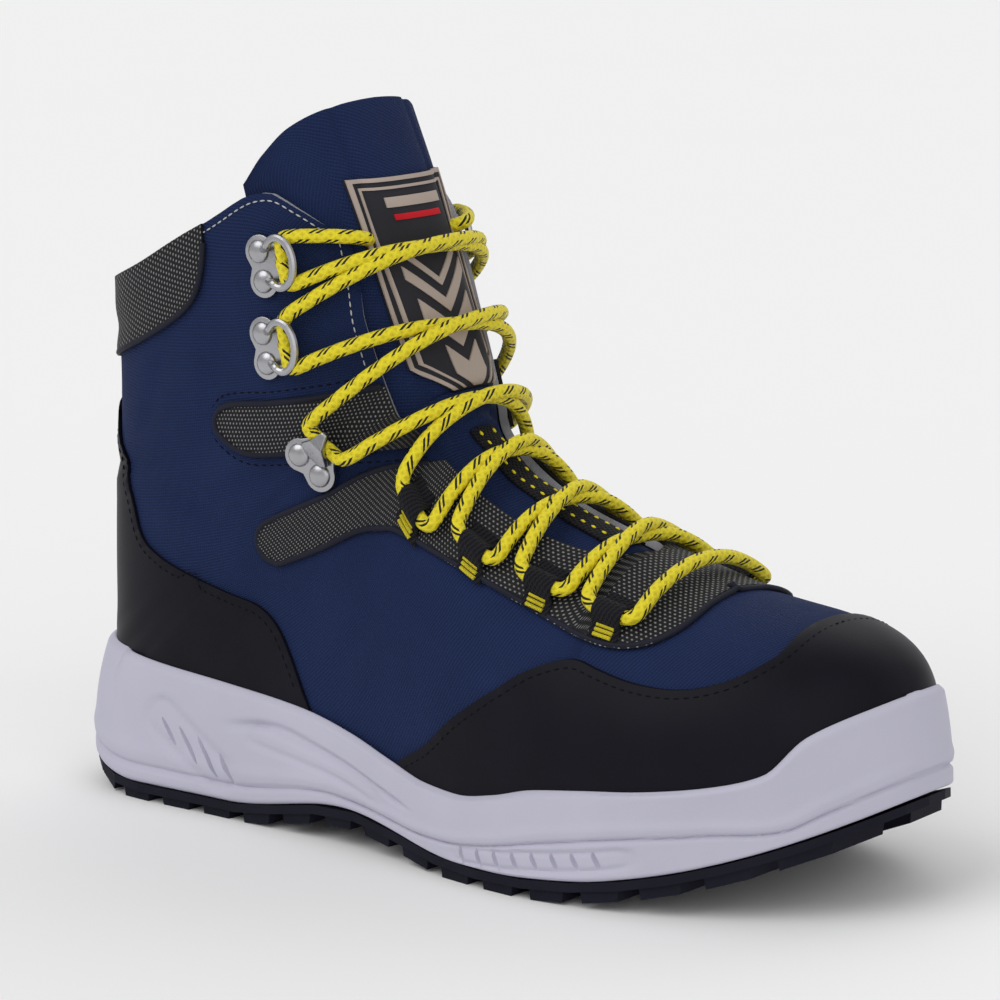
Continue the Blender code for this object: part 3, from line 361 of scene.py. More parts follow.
# Stations along the rim of the two drain eyelets of the inner side.
DRAINS = [0.415, 0.492]


def read(table, x):
    """The second column of a table at a place between its rows."""
    return curve(table, 1, x)


def curve(rows, column, x):
    """A smooth curve through the table's rows that doesn't overshoot them."""
    if x <= rows[0][0]:
        return rows[0][column]
    if x >= rows[-1][0]:
        return rows[-1][column]
    i = max(k for k in range(len(rows) - 1) if rows[k][0] <= x)

    def slope(k):
        if k == 0 or k == len(rows) - 1:
            return None
        before = (rows[k][column] - rows[k - 1][column]) / (rows[k][0] - rows[k - 1][0])
        after = (rows[k + 1][column] - rows[k][column]) / (rows[k + 1][0] - rows[k][0])
        return 0.0 if before * after <= 0 else 2 * before * after / (before + after)

    width = rows[i + 1][0] - rows[i][0]
    rise = rows[i + 1][column] - rows[i][column]
    start, end = slope(i), slope(i + 1)
    start = rise / width if start is None else start
    end = rise / width if end is None else end
    t = (x - rows[i][0]) / width
    blend = 3 * t * t - 2 * t**3
    return (
        rows[i][column]
        + rise * blend
        + width * (start * (t**3 - 2 * t * t + t) + end * (t**3 - t * t))
    )


def plain_curve(points, column, row):
    """A Catmull-Rom curve through evenly numbered rows."""
    last = len(points) - 1
    row = min(max(row, 0.0), last)
    i = min(int(row), last - 1)
    t = row - i
    a, b, c, d = (points[min(max(k, 0), last)][column] for k in (i - 1, i, i + 1, i + 2))
    return 0.5 * (
        2 * b
        + (c - a) * t
        + (2 * a - 5 * b + 4 * c - d) * t * t
        + (3 * b - 3 * c + d - a) * t**3
    )


def share(x):
    return (x - HEEL_X) / LENGTH


def end_round(s):
    """1 along the sole and falling to 0 at the heel's and the toe's tip, as a round outline."""
    past = max((HEEL_ROUND - s) / HEEL_ROUND, (s - 1 + TOE_ROUND) / TOE_ROUND)
    if past <= 0:
        return 1.0
    return max(0.0, 1 - past**PLAN_ROUND) ** (1 / PLAN_ROUND)


def plan_extreme(side):
    """Furthest the sole's plan reaches to one side, as a share of the ball width."""
    reach = []
    for i in range(201):
        s = i / 200
        reach.append(side * curve(PLAN, SHIFT, s) + curve(PLAN, HALF_WIDTH, s) * end_round(s))
    return max(reach)


HEEL_X = -LENGTH / 2
CENTRE_Y = -BALL_WIDTH * (plan_extreme(1) - plan_extreme(-1)) / 2


def plan_y(x, side, inset=0.0):
    """Y of the sole's plan on one side, drawn in by the inset."""
    s = min(max(share(x), 0.0), 1.0)
    inner = (x - HEEL_X - inset) / (LENGTH - 2 * inset)
    inner = min(max(inner, 0.0), 1.0)
    half = (curve(PLAN, HALF_WIDTH, s) * BALL_WIDTH - inset) * end_round(inner)
    return CENTRE_Y + curve(PLAN, SHIFT, s) * BALL_WIDTH + side * half


def bottom_z(x):
    """Height of the midsole's underside: heel bevel, arch and toe spring."""
    s = share(x)
    z = OUTSOLE_BASE + LUG_DEPTH
    z += HEEL_BEVEL * (max(BEVEL_END - s, 0.0) / BEVEL_END) ** 2
    if ARCH_START < s < ARCH_END:
        z += ARCH_RISE * math.sin(math.pi * (s - ARCH_START) / (ARCH_END - ARCH_START)) ** 2
    return z + TOE_SPRING * (max(s - SPRING_START, 0.0) / (1 - SPRING_START)) ** SPRING_POWER


def bed_z(x):
    s = min(max(share(x), 0.0), 1.0)
    return bottom_z(x) + read(BED, s) * MIDSOLE_HEIGHT


def rim_z(station, side):
    """Height of the midsole's rim at a station between its heel, 0, and its toe, 1."""
    return curve(RIM, OUTER_RIM if side < 0 else INNER_RIM, station) * MIDSOLE_HEIGHT


@lru_cache(maxsize=None)
def section(row):
    """The line of a section in the side view and its widths."""
    value = Section(*[plain_curve(SECTIONS, k, row) for k in range(len(Section._fields))])
    foot_x = HEEL_X + value.foot_x * LENGTH
    foot_z = bed_z(foot_x) + FOOT_FIT + max(value.foot_z, 0.0) * SHAFT_HEIGHT
    top_x = HEEL_X + value.top_x * LENGTH
    top_z = value.top_z * SHAFT_HEIGHT
    return foot_x, foot_z, top_x, top_z, value


def surface(row, around, side):
    """A point of the upper's outer face. The share around runs from the sole or the back
    seam, 0, to the front ridge, 1."""
    foot_x, foot_z, top_x, top_z, value = section(row)
    reach = max(value.foot_x / SECTIONS[0][0], HEEL_ROUND)
    half = (value.outer if side < 0 else value.inner) * BALL_WIDTH * end_round(reach)
    middle = CENTRE_Y + value.shift * BALL_WIDTH
    feather = 0.0
    if row < HEEL_ROW:
        feather = abs(plan_y(foot_x, side, FOLD_IN) - middle)
    wide = value.widest
    if around < 0.5:
        angle = around * math.pi
        power = 2 / BACK_ROUND
        t = wide * (1 - math.cos(angle) ** power)
        width = feather + (half - feather) * math.sin(angle) ** power
    else:
        angle = (around - 0.5) * math.pi
        power = 2 / value.front
        t = wide + (1 - wide) * math.sin(angle) ** power
        width = half * max(math.cos(angle), 0.0) ** power
    return Vector(
        (
            foot_x + (top_x - foot_x) * t,
            middle + side * width,
            foot_z + (top_z - foot_z) * t,
        )
    )


def normal(row, around, side):
    """Outward direction of the upper at a point, level across the boot along its seams."""
    low, high = max(row - 0.05, 0.0), min(row + 0.05, TOP_ROW)
    back, front = max(around - 0.004, 0.0), min(around + 0.004, 1.0)
    along = surface(high, around, side) - surface(low, around, side)
    across = surface(row, front, side) - surface(row, back, side)
    out = along.cross(across) * side
    if around > 0.999 or row == 0 or (around < 0.001 and row >= HEEL_ROW):
        out.y = 0.0
    return out.normalized()


def lifted(row, around, side, lift):
    return surface(row, around, side) + normal(row, around, side) * lift


def halved(low, high, before):
    """The row between two others up to which a condition holds, found by halves."""
    for _ in range(30):
        middle = (low + high) / 2
        if before(middle):
            low = middle
        else:
            high = middle
    return (low + high) / 2


def line_share(row, z):
    """How far along a section's line a height lies, and the place there."""
    foot_x, foot_z, top_x, top_z, _ = section(row)
    t = (z - foot_z) / (top_z - foot_z)
    return t, foot_x + (top_x - foot_x) * t


def row_at(x, z):
    """The section that passes through a place in the side view, and its share around."""
    row = halved(0.0, float(TOP_ROW), lambda at: line_share(at, z)[1] > x)
    t = min(max(line_share(row, z)[0], 0.0), 1.0)
    value = section(row)[4]
    wide = value.widest
    if t < wide:
        return row, math.acos((1 - t / wide) ** (BACK_ROUND / 2)) / math.pi
    return row, 0.5 + math.asin(((t - wide) / (1 - wide)) ** (value.front / 2)) / math.pi


def back_x(z):
    """Place of the back seam at a height."""
    return section(halved(float(HEEL_ROW), float(TOP_ROW), lambda at: section(at)[1] < z))[0]


@lru_cache(maxsize=None)
def slice_point(station, z, side, out):
    """A point of the upper's level slice at a height, moved out from it. The station runs from
    the heel, 0, to the toe, 1."""
    ends = back_x(z), surface(0, 0, 1).x

    def place(at):
        x = ends[0] + (ends[1] - ends[0]) * at
        row, around = row_at(x, z)
        middle = CENTRE_Y + section(row)[4].shift * BALL_WIDTH
        y = surface(row, around, side).y
        if at <= 0.0 or at >= 1.0:
            y = middle
        return Vector((x, y, z))

    point = place(station)
    if station <= 0.0 or station >= 1.0:
        return point + Vector((out if station >= 1.0 else -out, 0, 0))
    step = min(0.004, station, 1 - station)
    along = place(station + step) - place(station - step)
    away = Vector((-along.y, along.x, 0)).normalized() * side
    return point + away * out


def edge_share(row):
    """Share of the way round at which the throat's edge lies."""
    return read(THROAT, row)


def place_xz(point):
    return (HEEL_X + point[0] * LENGTH, point[1] * SHAFT_HEIGHT)


def rounded(outline, steps=4):
    """Points along a smooth open line through the outline's points."""
    points = []
    last = (len(outline) - 1) * steps
    for i in range(last + 1):
        points.append(tuple(plain_curve(outline, k, i / steps) for k in (0, 1)))
    return points


def label(side):
    """Name of a side of the boot in its pieces' names."""
    return "outer" if side < 0 else "inner"


def plan_point(station, side, inset, height):
    """A point of the sole's plan drawn in by the inset, at the height the function gives."""
    x = HEEL_X + inset + (LENGTH - 2 * inset) * station
    y = plan_y(x, side, inset)
    if station <= 0.0 or station >= 1.0:
        y = CENTRE_Y + curve(PLAN, SHIFT, station) * BALL_WIDTH
    return Vector((x, y, height(x)))


def wall_point(station, side, level, out=0.0):
    """A point of the midsole's outer wall between its bottom edge, 0, and its rim, 1."""
    low = plan_point(station, side, -out, bottom_z)
    rim = rim_z(station, side)
    high = slice_point(station, rim, side, LIP_FIT + LIP + out)
    point = low.lerp(high, level**WALL_FLARE)
    point.z = low.z + (rim - low.z) * level
    return point


def inner_point(station, side, level, out=LIP_FIT):
    """A point of the midsole's inner wall between just above the footbed, 0, and its rim, 1."""
    bed = bed_z(HEEL_X + LENGTH * station) + 2 * EDGE_ROUND
    return slice_point(station, bed + (rim_z(station, side) - bed) * level, side, out)


# The long groove: station and share of the wall's height.
GROOVE = [
    (0.00, 0.15),
    (0.22, 0.15),
    (0.36, 0.17),
    (0.44, 0.14),
    (0.51, 0.17),
    (0.58, 0.28),
    (0.68, 0.41),
    (0.78, 0.48),
    (0.86, 0.42),
    (0.94, 0.20),
    (1.00, 0.24),
]

# The channel along the waist: station and share of the wall's height.
CHANNEL = [(0.250, 0.66), (0.325, 0.76), (0.395, 0.66), (0.465, 0.56), (0.530, 0.50)]


def round_slice(station, z, side, out):
    """The slice's point, with its last stretch at the toe drawn as a round end."""
    if station <= ROUND_FROM:
        return slice_point(station, z, side, out)
    start = slice_point(ROUND_FROM, z, side, out)
    tip = slice_point(1.0, z, side, out)
    part = (station - ROUND_FROM) / (1 - ROUND_FROM)
    point = start.lerp(tip, part)
    point.y = tip.y + (start.y - tip.y) * math.sqrt(1 - part)
    return point


# Station from which the slice's end at the toe is drawn round.
ROUND_FROM = 0.985


# Slots of the side: how many, first station and its step, first share of the wall's height and
# its step, length, how much shorter each next one is from the middle, slant in degrees.
Slots = namedtuple("Slots", "count station pitch level fall length shorter slant")
HEEL_SLOTS = Slots(4, 0.176, 0.028, 0.490, -0.070, 0.0135, 0.0022, 38)
FRONT_SLOTS = Slots(8, 0.602, 0.0230, 0.170, 0.011, 0.0056, 0.0, 24)


def collar_shift(row, u):
    """Rows by which the collar's line moves the shaft's last rows."""
    if row < COLLAR_ROW - COLLAR_REACH:
        return 0.0
    return read(COLLAR, min(u, 1.0)) * (1 - (COLLAR_ROW - row) / COLLAR_REACH)


def tongue_lift(around, row):
    """Depth of the tongue under the upper's form, rising towards the laces in the throat."""
    edge = edge_share(row)
    if edge > 0.98:
        return -WALL - SEAT
    t = min(max((around - edge) / (1 - edge), 0.0), 1.0)
    return -WALL - SEAT + (WALL - SEAT) * t * t * (3 - 2 * t)


# Top edge of the tongue: share around and row.
TONGUE_TOP = [(0.57, 24.55), (0.64, 25.00), (0.74, 25.35), (0.88, 25.55), (1.00, 25.62)]


def row_for(x, around, side):
    """The row whose point at this share around lies at a place along the boot."""
    return halved(0.0, float(HEEL_ROW), lambda at: surface(at, around, side).x > x)


def tab_place(number, side):
    """Row, share around and half sizes of a lace tab in rows and in share around."""
    share_x, around = TABS[number]
    row = row_for(HEEL_X + share_x * LENGTH, around, side)
    along = (surface(row + 0.2, around, side) - surface(row - 0.2, around, side)).length / 0.4
    across = (surface(row, around + 0.02, side) - surface(row, around - 0.02, side)).length / 0.04
    return row, around, WEBBING_WIDTH / 2 / along, TAB_LENGTH / 2 / across


def seat_frame(x, z, side, turn, reach_u, reach_v):
    """A frame on the upper, its first axis forward, its last outward, lifted so that a flat
    piece of this reach clears the surface."""
    row, around = row_at(x, z)
    centre = surface(row, around, side)
    out = normal(row, around, side)
    up = Vector((math.sin(math.radians(turn)), 0, math.cos(math.radians(turn))))
    up = (up - out * up.dot(out)).normalized()
    ahead = up.cross(out).normalized()
    if ahead.x < 0:
        ahead = -ahead
    highest = 0.0
    for i in range(-6, 7):
        for j in range(-6, 7):
            point = centre + ahead * (reach_u * i / 6) + up * (reach_v * j / 6)
            near_row, near_around = row_at(point.x, point.z)
            near = surface(near_row, near_around, side)
            highest = max(highest, (near - centre).dot(out))
    frame = Matrix((ahead, out.cross(ahead), out)).transposed().to_4x4()
    return frame, centre, out, highest


def hook_frame(number, side):
    share_x, share_z, turn = HOOKS[number]
    x, z = place_xz((share_x, share_z))
    frame, centre, out, highest = seat_frame(x, z, side, turn, HOOK_HALF * 0.7, HOOK_HALF)
    over = OVERLAY + GAP if number == 2 else 0.0
    return Matrix.Translation(centre + out * (highest + over + SEAT)) @ frame


# Loop of the back seam: distance behind it as a share of the loop's width and height as a
# share of the shaft height.
LOOP_PATH = [
    (0.10, 0.834),
    (0.34, 0.822),
    (0.62, 0.782),
    (0.72, 0.740),
    (0.58, 0.716),
    (0.38, 0.732),
    (0.26, 0.775),
]


def tab_exit(number, side, toward_toe):
    """Where the lace leaves a tab."""
    row, around, half_row, _ = tab_place(number, side)
    step = half_row * (1 + (LACE_DIAMETER + 7 * SEAT) / WEBBING_WIDTH)
    return row + (-step if toward_toe else step), around, side, LACE_LIFT


def hook_exit(number, side, upward):
    """Where the lace leaves a hook's barrel."""
    frame = hook_frame(number, side)
    reach = BARREL_HALF + LACE_DIAMETER / 2 + 3 * SEAT
    ends = []
    for sign in (-1, 1):
        ends.append(frame @ Vector((BARREL_AHEAD, sign * reach, HOOK_PLATE + BARREL_RADIUS)))
    point = max(ends, key=lambda at: at.z) if upward else min(ends, key=lambda at: at.z)
    row, around = row_at(point.x, point.z)
    for _ in range(4):
        out = normal(row, around, side)
        lift = (point - surface(row, around, side)).dot(out)
        base = point - out * lift
        row, around = row_at(base.x, base.z)
    return row, around, side, max(lift, LACE_LIFT)


# Where the laces run, from the toe up: a fitting and its number, then the next one. A lace
# leaves the first upward and reaches the second from below.
CROSSINGS = [
    ("tab", 0, "tab", 1),
    ("tab", 1, "tab", 2),
    ("tab", 2, "tab", 3),
    ("tab", 3, "hook", 2),
    ("hook", 2, "hook", 1),
    ("hook", 1, "hook", 0),
]
END_ROW = 22.5
END_PAST = 0.045


def lace_exit(kind, number, side, upward):
    if kind == "tab":
        return tab_exit(number, side, not upward)
    return hook_exit(number, side, upward)


# Looks

# Creases of the upper: place as shares of the length and the shaft height, side (0 is both), turn
# in degrees, half length and half width as shares of the length, depth in metres.
Crease = namedtuple("Crease", "x z side turn length width depth")
CREASES = [
    Crease(0.130, 0.560, 0, 8, 0.085, 0.016, 0.0016),
    Crease(0.215, 0.500, 0, -16, 0.070, 0.018, 0.0014),
    Crease(0.300, 0.560, -1, 24, 0.060, 0.016, 0.0014),
    Crease(0.250, 0.740, 0, 82, 0.075, 0.020, 0.0012),
    Crease(0.160, 0.690, 0, 64, 0.060, 0.018, 0.0008),
    Crease(0.500, 0.440, 0, -24, 0.080, 0.017, 0.0011),
    Crease(0.600, 0.350, 0, -35, 0.060, 0.016, 0.0010),
    Crease(0.435, 0.330, 0, 52, 0.070, 0.020, 0.0008),
    Crease(0.090, 0.780, 0, 20, 0.050, 0.018, 0.0007),
]


def fold(point, side):
    """Depth of the creases at a point of the form: a soft trough between two low ridges."""
    depth = 0.0
    for crease in CREASES:
        if crease.side and crease.side != side:
            continue
        ahead = point.x - HEEL_X - crease.x * LENGTH
        up = point.z - crease.z * SHAFT_HEIGHT
        turn = math.radians(crease.turn)
        along = (ahead * math.cos(turn) + up * math.sin(turn)) / (crease.length * LENGTH)
        across = (up * math.cos(turn) - ahead * math.sin(turn)) / (crease.width * LENGTH)
        if abs(along) < 3 and abs(across) < 3.5:
            depth += crease.depth * (1 - 1.3 * across**2) * math.exp(-(across**2) - along**2)
    return depth


def creased(row, around, side, lift):
    return lifted(row, around, side, lift - fold(surface(row, around, side), side))


def formed(row, around, side, lift):
    """A point over the creased form, with the corner between the foot and the heel eased."""
    point = creased(row, around, side, lift)
    near = 1 - abs(row - HEEL_ROW) / CORNER_REACH
    if near <= 0 or around > 0.6:
        return point
    step = CORNER_STEP * near
    beside = creased(row - step, around, side, lift) + creased(row + step, around, side, lift)
    return point.lerp(beside / 2, 0.8 * near)


# How far the easing of the corner between the foot and the heel reaches, and its step, in rows.
CORNER_REACH = 1.3
CORNER_STEP = 0.75


def spread(start, end, count):
    return [start + (end - start) * i / count for i in range(count + 1)]


# Mesh helpers


def add(name, mesh, finishes):
    """Makes a shown object from a bmesh with one or several materials."""
    data = bpy.data.meshes.new(name)
    mesh.to_mesh(data)
    mesh.free()
    for finish in finishes if isinstance(finishes, tuple) else (finishes,):
        data.materials.append(bpy.data.materials[finish])
    thing = bpy.data.objects.new(name, data)
    bpy.context.scene.collection.objects.link(thing)
    return thing


def settle(thing, angle=40):
    """Turns the object's modifiers into its mesh and shades it smooth between sharp edges."""
    bpy.context.view_layer.update()
    graph = bpy.context.evaluated_depsgraph_get()
    data = bpy.data.meshes.new_from_object(
        thing.evaluated_get(graph), preserve_all_data_layers=True, depsgraph=graph
    )
    thing.modifiers.clear()
    thing.data = data
    data.shade_smooth()
    data.set_sharp_from_angle(angle=math.radians(angle))
    return thing


def stand_for(thing, nodes, slot):
    """Lets a piece ride on the boot in place of its solids."""
    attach(thing, "root")
    if nodes:
        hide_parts(*nodes)
    return thing


def thicken(thing, thickness, outward, inside=0, rim=0):
    solid = thing.modifiers.new("Thickness", "SOLIDIFY")
    solid.thickness = thickness
    solid.offset = 1.0 if outward else -1.0
    solid.material_offset = inside
    solid.material_offset_rim = rim
    return thing


def soften(thing, width, angle=55, segments=2):
    """Rounds the edges of a piece."""
    bevel = thing.modifiers.new("Edges", "BEVEL")
    bevel.width = width
    bevel.segments = segments
    bevel.limit_method = "ANGLE"
    bevel.angle_limit = math.radians(angle)
    bevel.use_clamp_overlap = True
    return thing


def cut(thing, mesh, operation="DIFFERENCE"):
    """Cuts a piece with a bmesh that is gone afterwards."""
    data = bpy.data.meshes.new("cutter")
    mesh.to_mesh(data)
    mesh.free()
    cutter = bpy.data.objects.new("cutter", data)
    bpy.context.scene.collection.objects.link(cutter)
    boolean = thing.modifiers.new("Cut", "BOOLEAN")
    boolean.operation = operation
    boolean.solver = "EXACT"
    boolean.object = cutter
    settle(thing)
    bpy.data.objects.remove(cutter, do_unlink=True)
    return thing


def patch(rows, columns, place, sides=(-1, 1)):
    """An open surface: on each side a grid whose points the function places. Its UV map holds
    the cloth's own lengths, in metres."""
    mesh = bmesh.new()
    cloth = mesh.loops.layers.uv.new("cloth")
    count = len(rows) - 1
    for side in sides:
        made = bmesh.ops.create_grid(mesh, x_segments=count, y_segments=columns, size=0.5)["verts"]
        spots = {}
        points = {}
        for vertex in made:
            i = round((vertex.co.x + 0.5) * count)
            j = round((vertex.co.y + 0.5) * columns)
            vertex.co = place(rows[i], j / columns, side)
            spots[vertex] = i, j
            points[i, j] = vertex.co.copy()
        along = [0.0]
        for i in range(count):
            step = points[i + 1, columns // 2] - points[i, columns // 2]
            along.append(along[-1] + step.length)
        across = {}
        for i in range(count + 1):
            across[i, columns] = 0.0
            for j in range(columns - 1, -1, -1):
                across[i, j] = across[i, j + 1] + (points[i, j + 1] - points[i, j]).length
        faces = {face for vertex in made for face in vertex.link_faces}
        for face in faces:
            for loop in face.loops:
                i, j = spots[loop.vert]
                loop[cloth].uv = along[i], side * across[i, j]
        if side < 0:
            bmesh.ops.reverse_faces(mesh, faces=list(faces))
    bmesh.ops.remove_doubles(mesh, verts=mesh.verts, dist=WELD)
    bmesh.ops.dissolve_degenerate(mesh, edges=mesh.edges, dist=WELD)
    return mesh


def prism(outline, axis, start, end):
    """A flat outline drawn out along an axis: 1 for y from points (x, z), 0 for x from (y, z),
    2 for z from (x, y)."""
    mesh = bmesh.new()
    corners = []
    for a, b in outline:
        point = [a, b]
        point.insert(axis, start)
        corners.append(mesh.verts.new(point))
    made = bmesh.ops.extrude_face_region(mesh, geom=[mesh.faces.new(corners)])["geom"]
    step = Vector((0, 0, 0))
    step[axis] = end - start
    moved = [item for item in made if isinstance(item, bmesh.types.BMVert)]
    bmesh.ops.translate(mesh, verts=moved, vec=step)
    bmesh.ops.recalc_face_normals(mesh, faces=mesh.faces)
    return mesh


def smooth_line(points, steps):
    """More points along a smooth line through the points."""
    line = []
    count = (len(points) - 1) * steps
    for i in range(count + 1):
        line.append(Vector([plain_curve(points, k, i / steps) for k in range(3)]))
    return line


def even_line(points, pitch):
    """The points again, a pitch apart along the line, with the line's length."""
    lengths = [0.0]
    for a, b in zip(points, points[1:]):
        lengths.append(lengths[-1] + (b - a).length)
    count = max(2, round(lengths[-1] / pitch))
    line = []
    k = 0
    for i in range(count + 1):
        at = lengths[-1] * i / count
        while k < len(points) - 2 and lengths[k + 1] < at:
            k += 1
        part = (at - lengths[k]) / max(lengths[k + 1] - lengths[k], WELD)
        line.append(points[k].lerp(points[k + 1], min(part, 1.0)))
    return line, lengths[-1]


def eased(points, passes=10):
    """The line again with its sharp turns rounded and its ends kept."""
    for _ in range(passes):
        inner = [(a + b * 2 + c) / 4 for a, b, c in zip(points, points[1:], points[2:])]
        points = [points[0], *inner, points[-1]]
    return points


def sweep(mesh, points, radius, sides=8, flat=1.0, outward=None, closed=False):
    """A round or flattened cord along the points, with its length and the share around it as its
    UV map. The radius may be a function of the share of the way along."""
    cloth = mesh.loops.layers.uv.get("cloth") or mesh.loops.layers.uv.new("cloth")
    count = len(points) - 1
    made = bmesh.ops.create_grid(mesh, x_segments=count, y_segments=sides, size=0.5)["verts"]
    frames = []
    previous = None
    length = 0.0
    for i, point in enumerate(points):
        tangent = (points[min(i + 1, count)] - points[max(i - 1, 0)]).normalized()
        if closed and i in (0, count):
            tangent = (points[1] - points[count - 1]).normalized()
        if outward:
            out = outward(i / count)
        else:
            out = previous or tangent.orthogonal()
        out = (out - tangent * out.dot(tangent)).normalized()
        previous = out
        if i:
            length += (point - points[i - 1]).length
        frames.append((point, out, tangent.cross(out), length))
    spots = {}
    for vertex in made:
        i = round((vertex.co.x + 0.5) * count)
        j = round((vertex.co.y + 0.5) * sides)
        point, out, across, _ = frames[i]
        size = radius(i / count) if callable(radius) else radius
        turn = 2 * math.pi * j / sides
        vertex.co = point + out * (math.cos(turn) * size * flat) + across * (math.sin(turn) * size)
        spots[vertex] = i, j
    faces = {face for vertex in made for face in vertex.link_faces}
    for face in faces:
        for loop in face.loops:
            i, j = spots[loop.vert]
            loop[cloth].uv = frames[i][3], j / sides
    bmesh.ops.remove_doubles(mesh, verts=made, dist=WELD)
    return mesh


def capped(mesh):
    """The mesh with its open ends filled and its faces turned outward."""
    rims = [edge for edge in mesh.edges if edge.is_boundary]
    bmesh.ops.holes_fill(mesh, edges=rims, sides=0)
    bmesh.ops.recalc_face_normals(mesh, faces=mesh.faces)
    return mesh


def closed_sweep(points, radius, **options):
    """A swept cord with round closed ends."""
    return capped(sweep(bmesh.new(), points, radius, **options))


# The most that a sewn line is moved to lie where the side view has it.
SLIP_LIMIT = 0.003


def on_form(points, side, lift, steps=6):
    """A line over the creased form through points of the side view, in metres."""
    line = []
    count = (len(points) - 1) * steps
    for i in range(count + 1):
        x, z = (plain_curve(points, k, i / steps) for k in (0, 1))
        row, around = row_at(x, z)
        if around > edge_share(row):
            continue
        ground = formed(row, around, side, 0.0)
        slip = Vector((x - ground.x, 0, z - ground.z))
        line.append(formed(row, around, side, lift) + (slip if slip.length < SLIP_LIMIT else Vector()))
    return line


# Distance between the rings of a sewn cord.
TRIM_PITCH = 0.0022


def trim(name, lines, radius, finish, slot, flat=1.0):
    """A thin raised cord sewn along lines on the form."""
    mesh = bmesh.new()
    for points in lines:
        line = even_line(points, TRIM_PITCH)[0]
        sweep(mesh, line, radius, sides=8, flat=flat)
    return stand_for(settle(add(name, capped(mesh), finish), 60), (), slot)


def stitches(name, lines, finish, slot, pitch=0.0032, length=0.0022, radius=0.00032):
    """Rows of stitches, each a small long bead sunk half into the cloth."""
    mesh = bmesh.new()
    for points in lines:
        line = even_line(points, pitch)[0]
        for a, b in zip(line, line[1:]):
            middle = (a + b) / 2
            turn = (b - a).to_track_quat("X", "Z").to_matrix().to_4x4()
            size = Matrix.Diagonal((length / 2, radius, radius, 1.0))
            bmesh.ops.create_icosphere(
                mesh, subdivisions=1, radius=1.0, matrix=Matrix.Translation(middle) @ turn @ size
            )
    return stand_for(settle(add(name, mesh, finish), 80), (), slot)


# Materials


def calc(tree, operation, *values):
    """A maths node fed with numbers or sockets."""
    made = tree.nodes.new("ShaderNodeMath")
    made.operation = operation
    for socket, value in zip(made.inputs, values):
        if isinstance(value, (int, float)):
            socket.default_value = value
        else:
            tree.links.new(value, socket)
    return made.outputs[0]


def noise(tree, vector, scale, detail=3.0):
    made = tree.nodes.new("ShaderNodeTexNoise")
    made.inputs["Scale"].default_value = scale
    made.inputs["Detail"].default_value = detail
    tree.links.new(vector, made.inputs["Vector"])
    return made.outputs[0]


def ramp(tree, factor, low, high, start=0.0, end=1.0):
    """Colour between two colours as the factor goes from start to end."""
    made = tree.nodes.new("ShaderNodeValToRGB")
    made.color_ramp.elements[0].position = start
    made.color_ramp.elements[0].color = (*low, 1.0)
    made.color_ramp.elements[1].position = end
    made.color_ramp.elements[1].color = (*high, 1.0)
    tree.links.new(factor, made.inputs[0])
    return made.outputs[0]


def group(name, inputs, outputs):
    """An empty shader node group with named sockets."""
    tree = bpy.data.node_groups.new(name, "ShaderNodeTree")
    for label, kind in inputs:
        tree.interface.new_socket(label, in_out="INPUT", socket_type=kind)
    for label in outputs:
        tree.interface.new_socket(label, in_out="OUTPUT", socket_type="NodeSocketFloat")
    return tree, tree.nodes.new("NodeGroupInput"), tree.nodes.new("NodeGroupOutput")


def grain_group():
    """Fine irregular relief and broad soft patches."""
    tree, start, end = group(
        "grain", [("Vector", "NodeSocketVector"), ("Scale", "NodeSocketFloat")], ["Height", "Patch"]
    )
    fine = tree.nodes.new("ShaderNodeTexNoise")
    fine.inputs["Detail"].default_value = 4.0
    tree.links.new(start.outputs["Vector"], fine.inputs["Vector"])
    tree.links.new(start.outputs["Scale"], fine.inputs["Scale"])
    broad = noise(tree, start.outputs["Vector"], 38.0, 2.0)
    tree.links.new(fine.outputs[0], end.inputs["Height"])
    tree.links.new(broad, end.inputs["Patch"])
    return tree


def weave_group():
    """Threads crossing at a slant, as relief and as a mask of the upper threads."""
    tree, start, end = group(
        "weave", [("Vector", "NodeSocketVector"), ("Pitch", "NodeSocketFloat")], ["Height", "Thread"]
    )
    split = tree.nodes.new("ShaderNodeSeparateXYZ")
    tree.links.new(start.outputs["Vector"], split.inputs[0])
    turns = calc(tree, "DIVIDE", 2 * math.pi, start.outputs["Pitch"])
    u = calc(tree, "MULTIPLY", split.outputs[0], turns)
    v = calc(tree, "MULTIPLY", split.outputs[1], turns)
    warp = calc(tree, "SINE", calc(tree, "ADD", u, calc(tree, "MULTIPLY", v, 0.5)))
    weft = calc(tree, "SINE", calc(tree, "SUBTRACT", v, calc(tree, "MULTIPLY", u, 0.5)))
    height = calc(tree, "MULTIPLY_ADD", calc(tree, "MAXIMUM", warp, weft), 0.5, 0.5)
    thread = calc(tree, "MULTIPLY_ADD", warp, 0.5, 0.5)
    tree.links.new(height, end.inputs["Height"])
    tree.links.new(thread, end.inputs["Thread"])
    return tree


def place_group(tree, name, vector, value):
    made = tree.nodes.new("ShaderNodeGroup")
    made.node_tree = bpy.data.node_groups[name]
    tree.links.new(vector, made.inputs[0])
    made.inputs[1].default_value = value
    return made


def material(name, roughness, metallic=0.0, **sockets):
    """A new material with its Principled BSDF, its node tree and its two coordinates."""
    made = bpy.data.materials.new(name)
    made.use_nodes = True
    tree = made.node_tree
    shader = tree.nodes["Principled BSDF"]
    shader.inputs["Roughness"].default_value = roughness
    shader.inputs["Metallic"].default_value = metallic
    for label, value in sockets.items():
        shader.inputs[label.replace("_", " ")].default_value = value
    place = tree.nodes.new("ShaderNodeTexCoord").outputs["Object"]
    cloth = tree.nodes.new("ShaderNodeUVMap")
    cloth.uv_map = "cloth"
    return tree, shader, place, cloth.outputs[0]


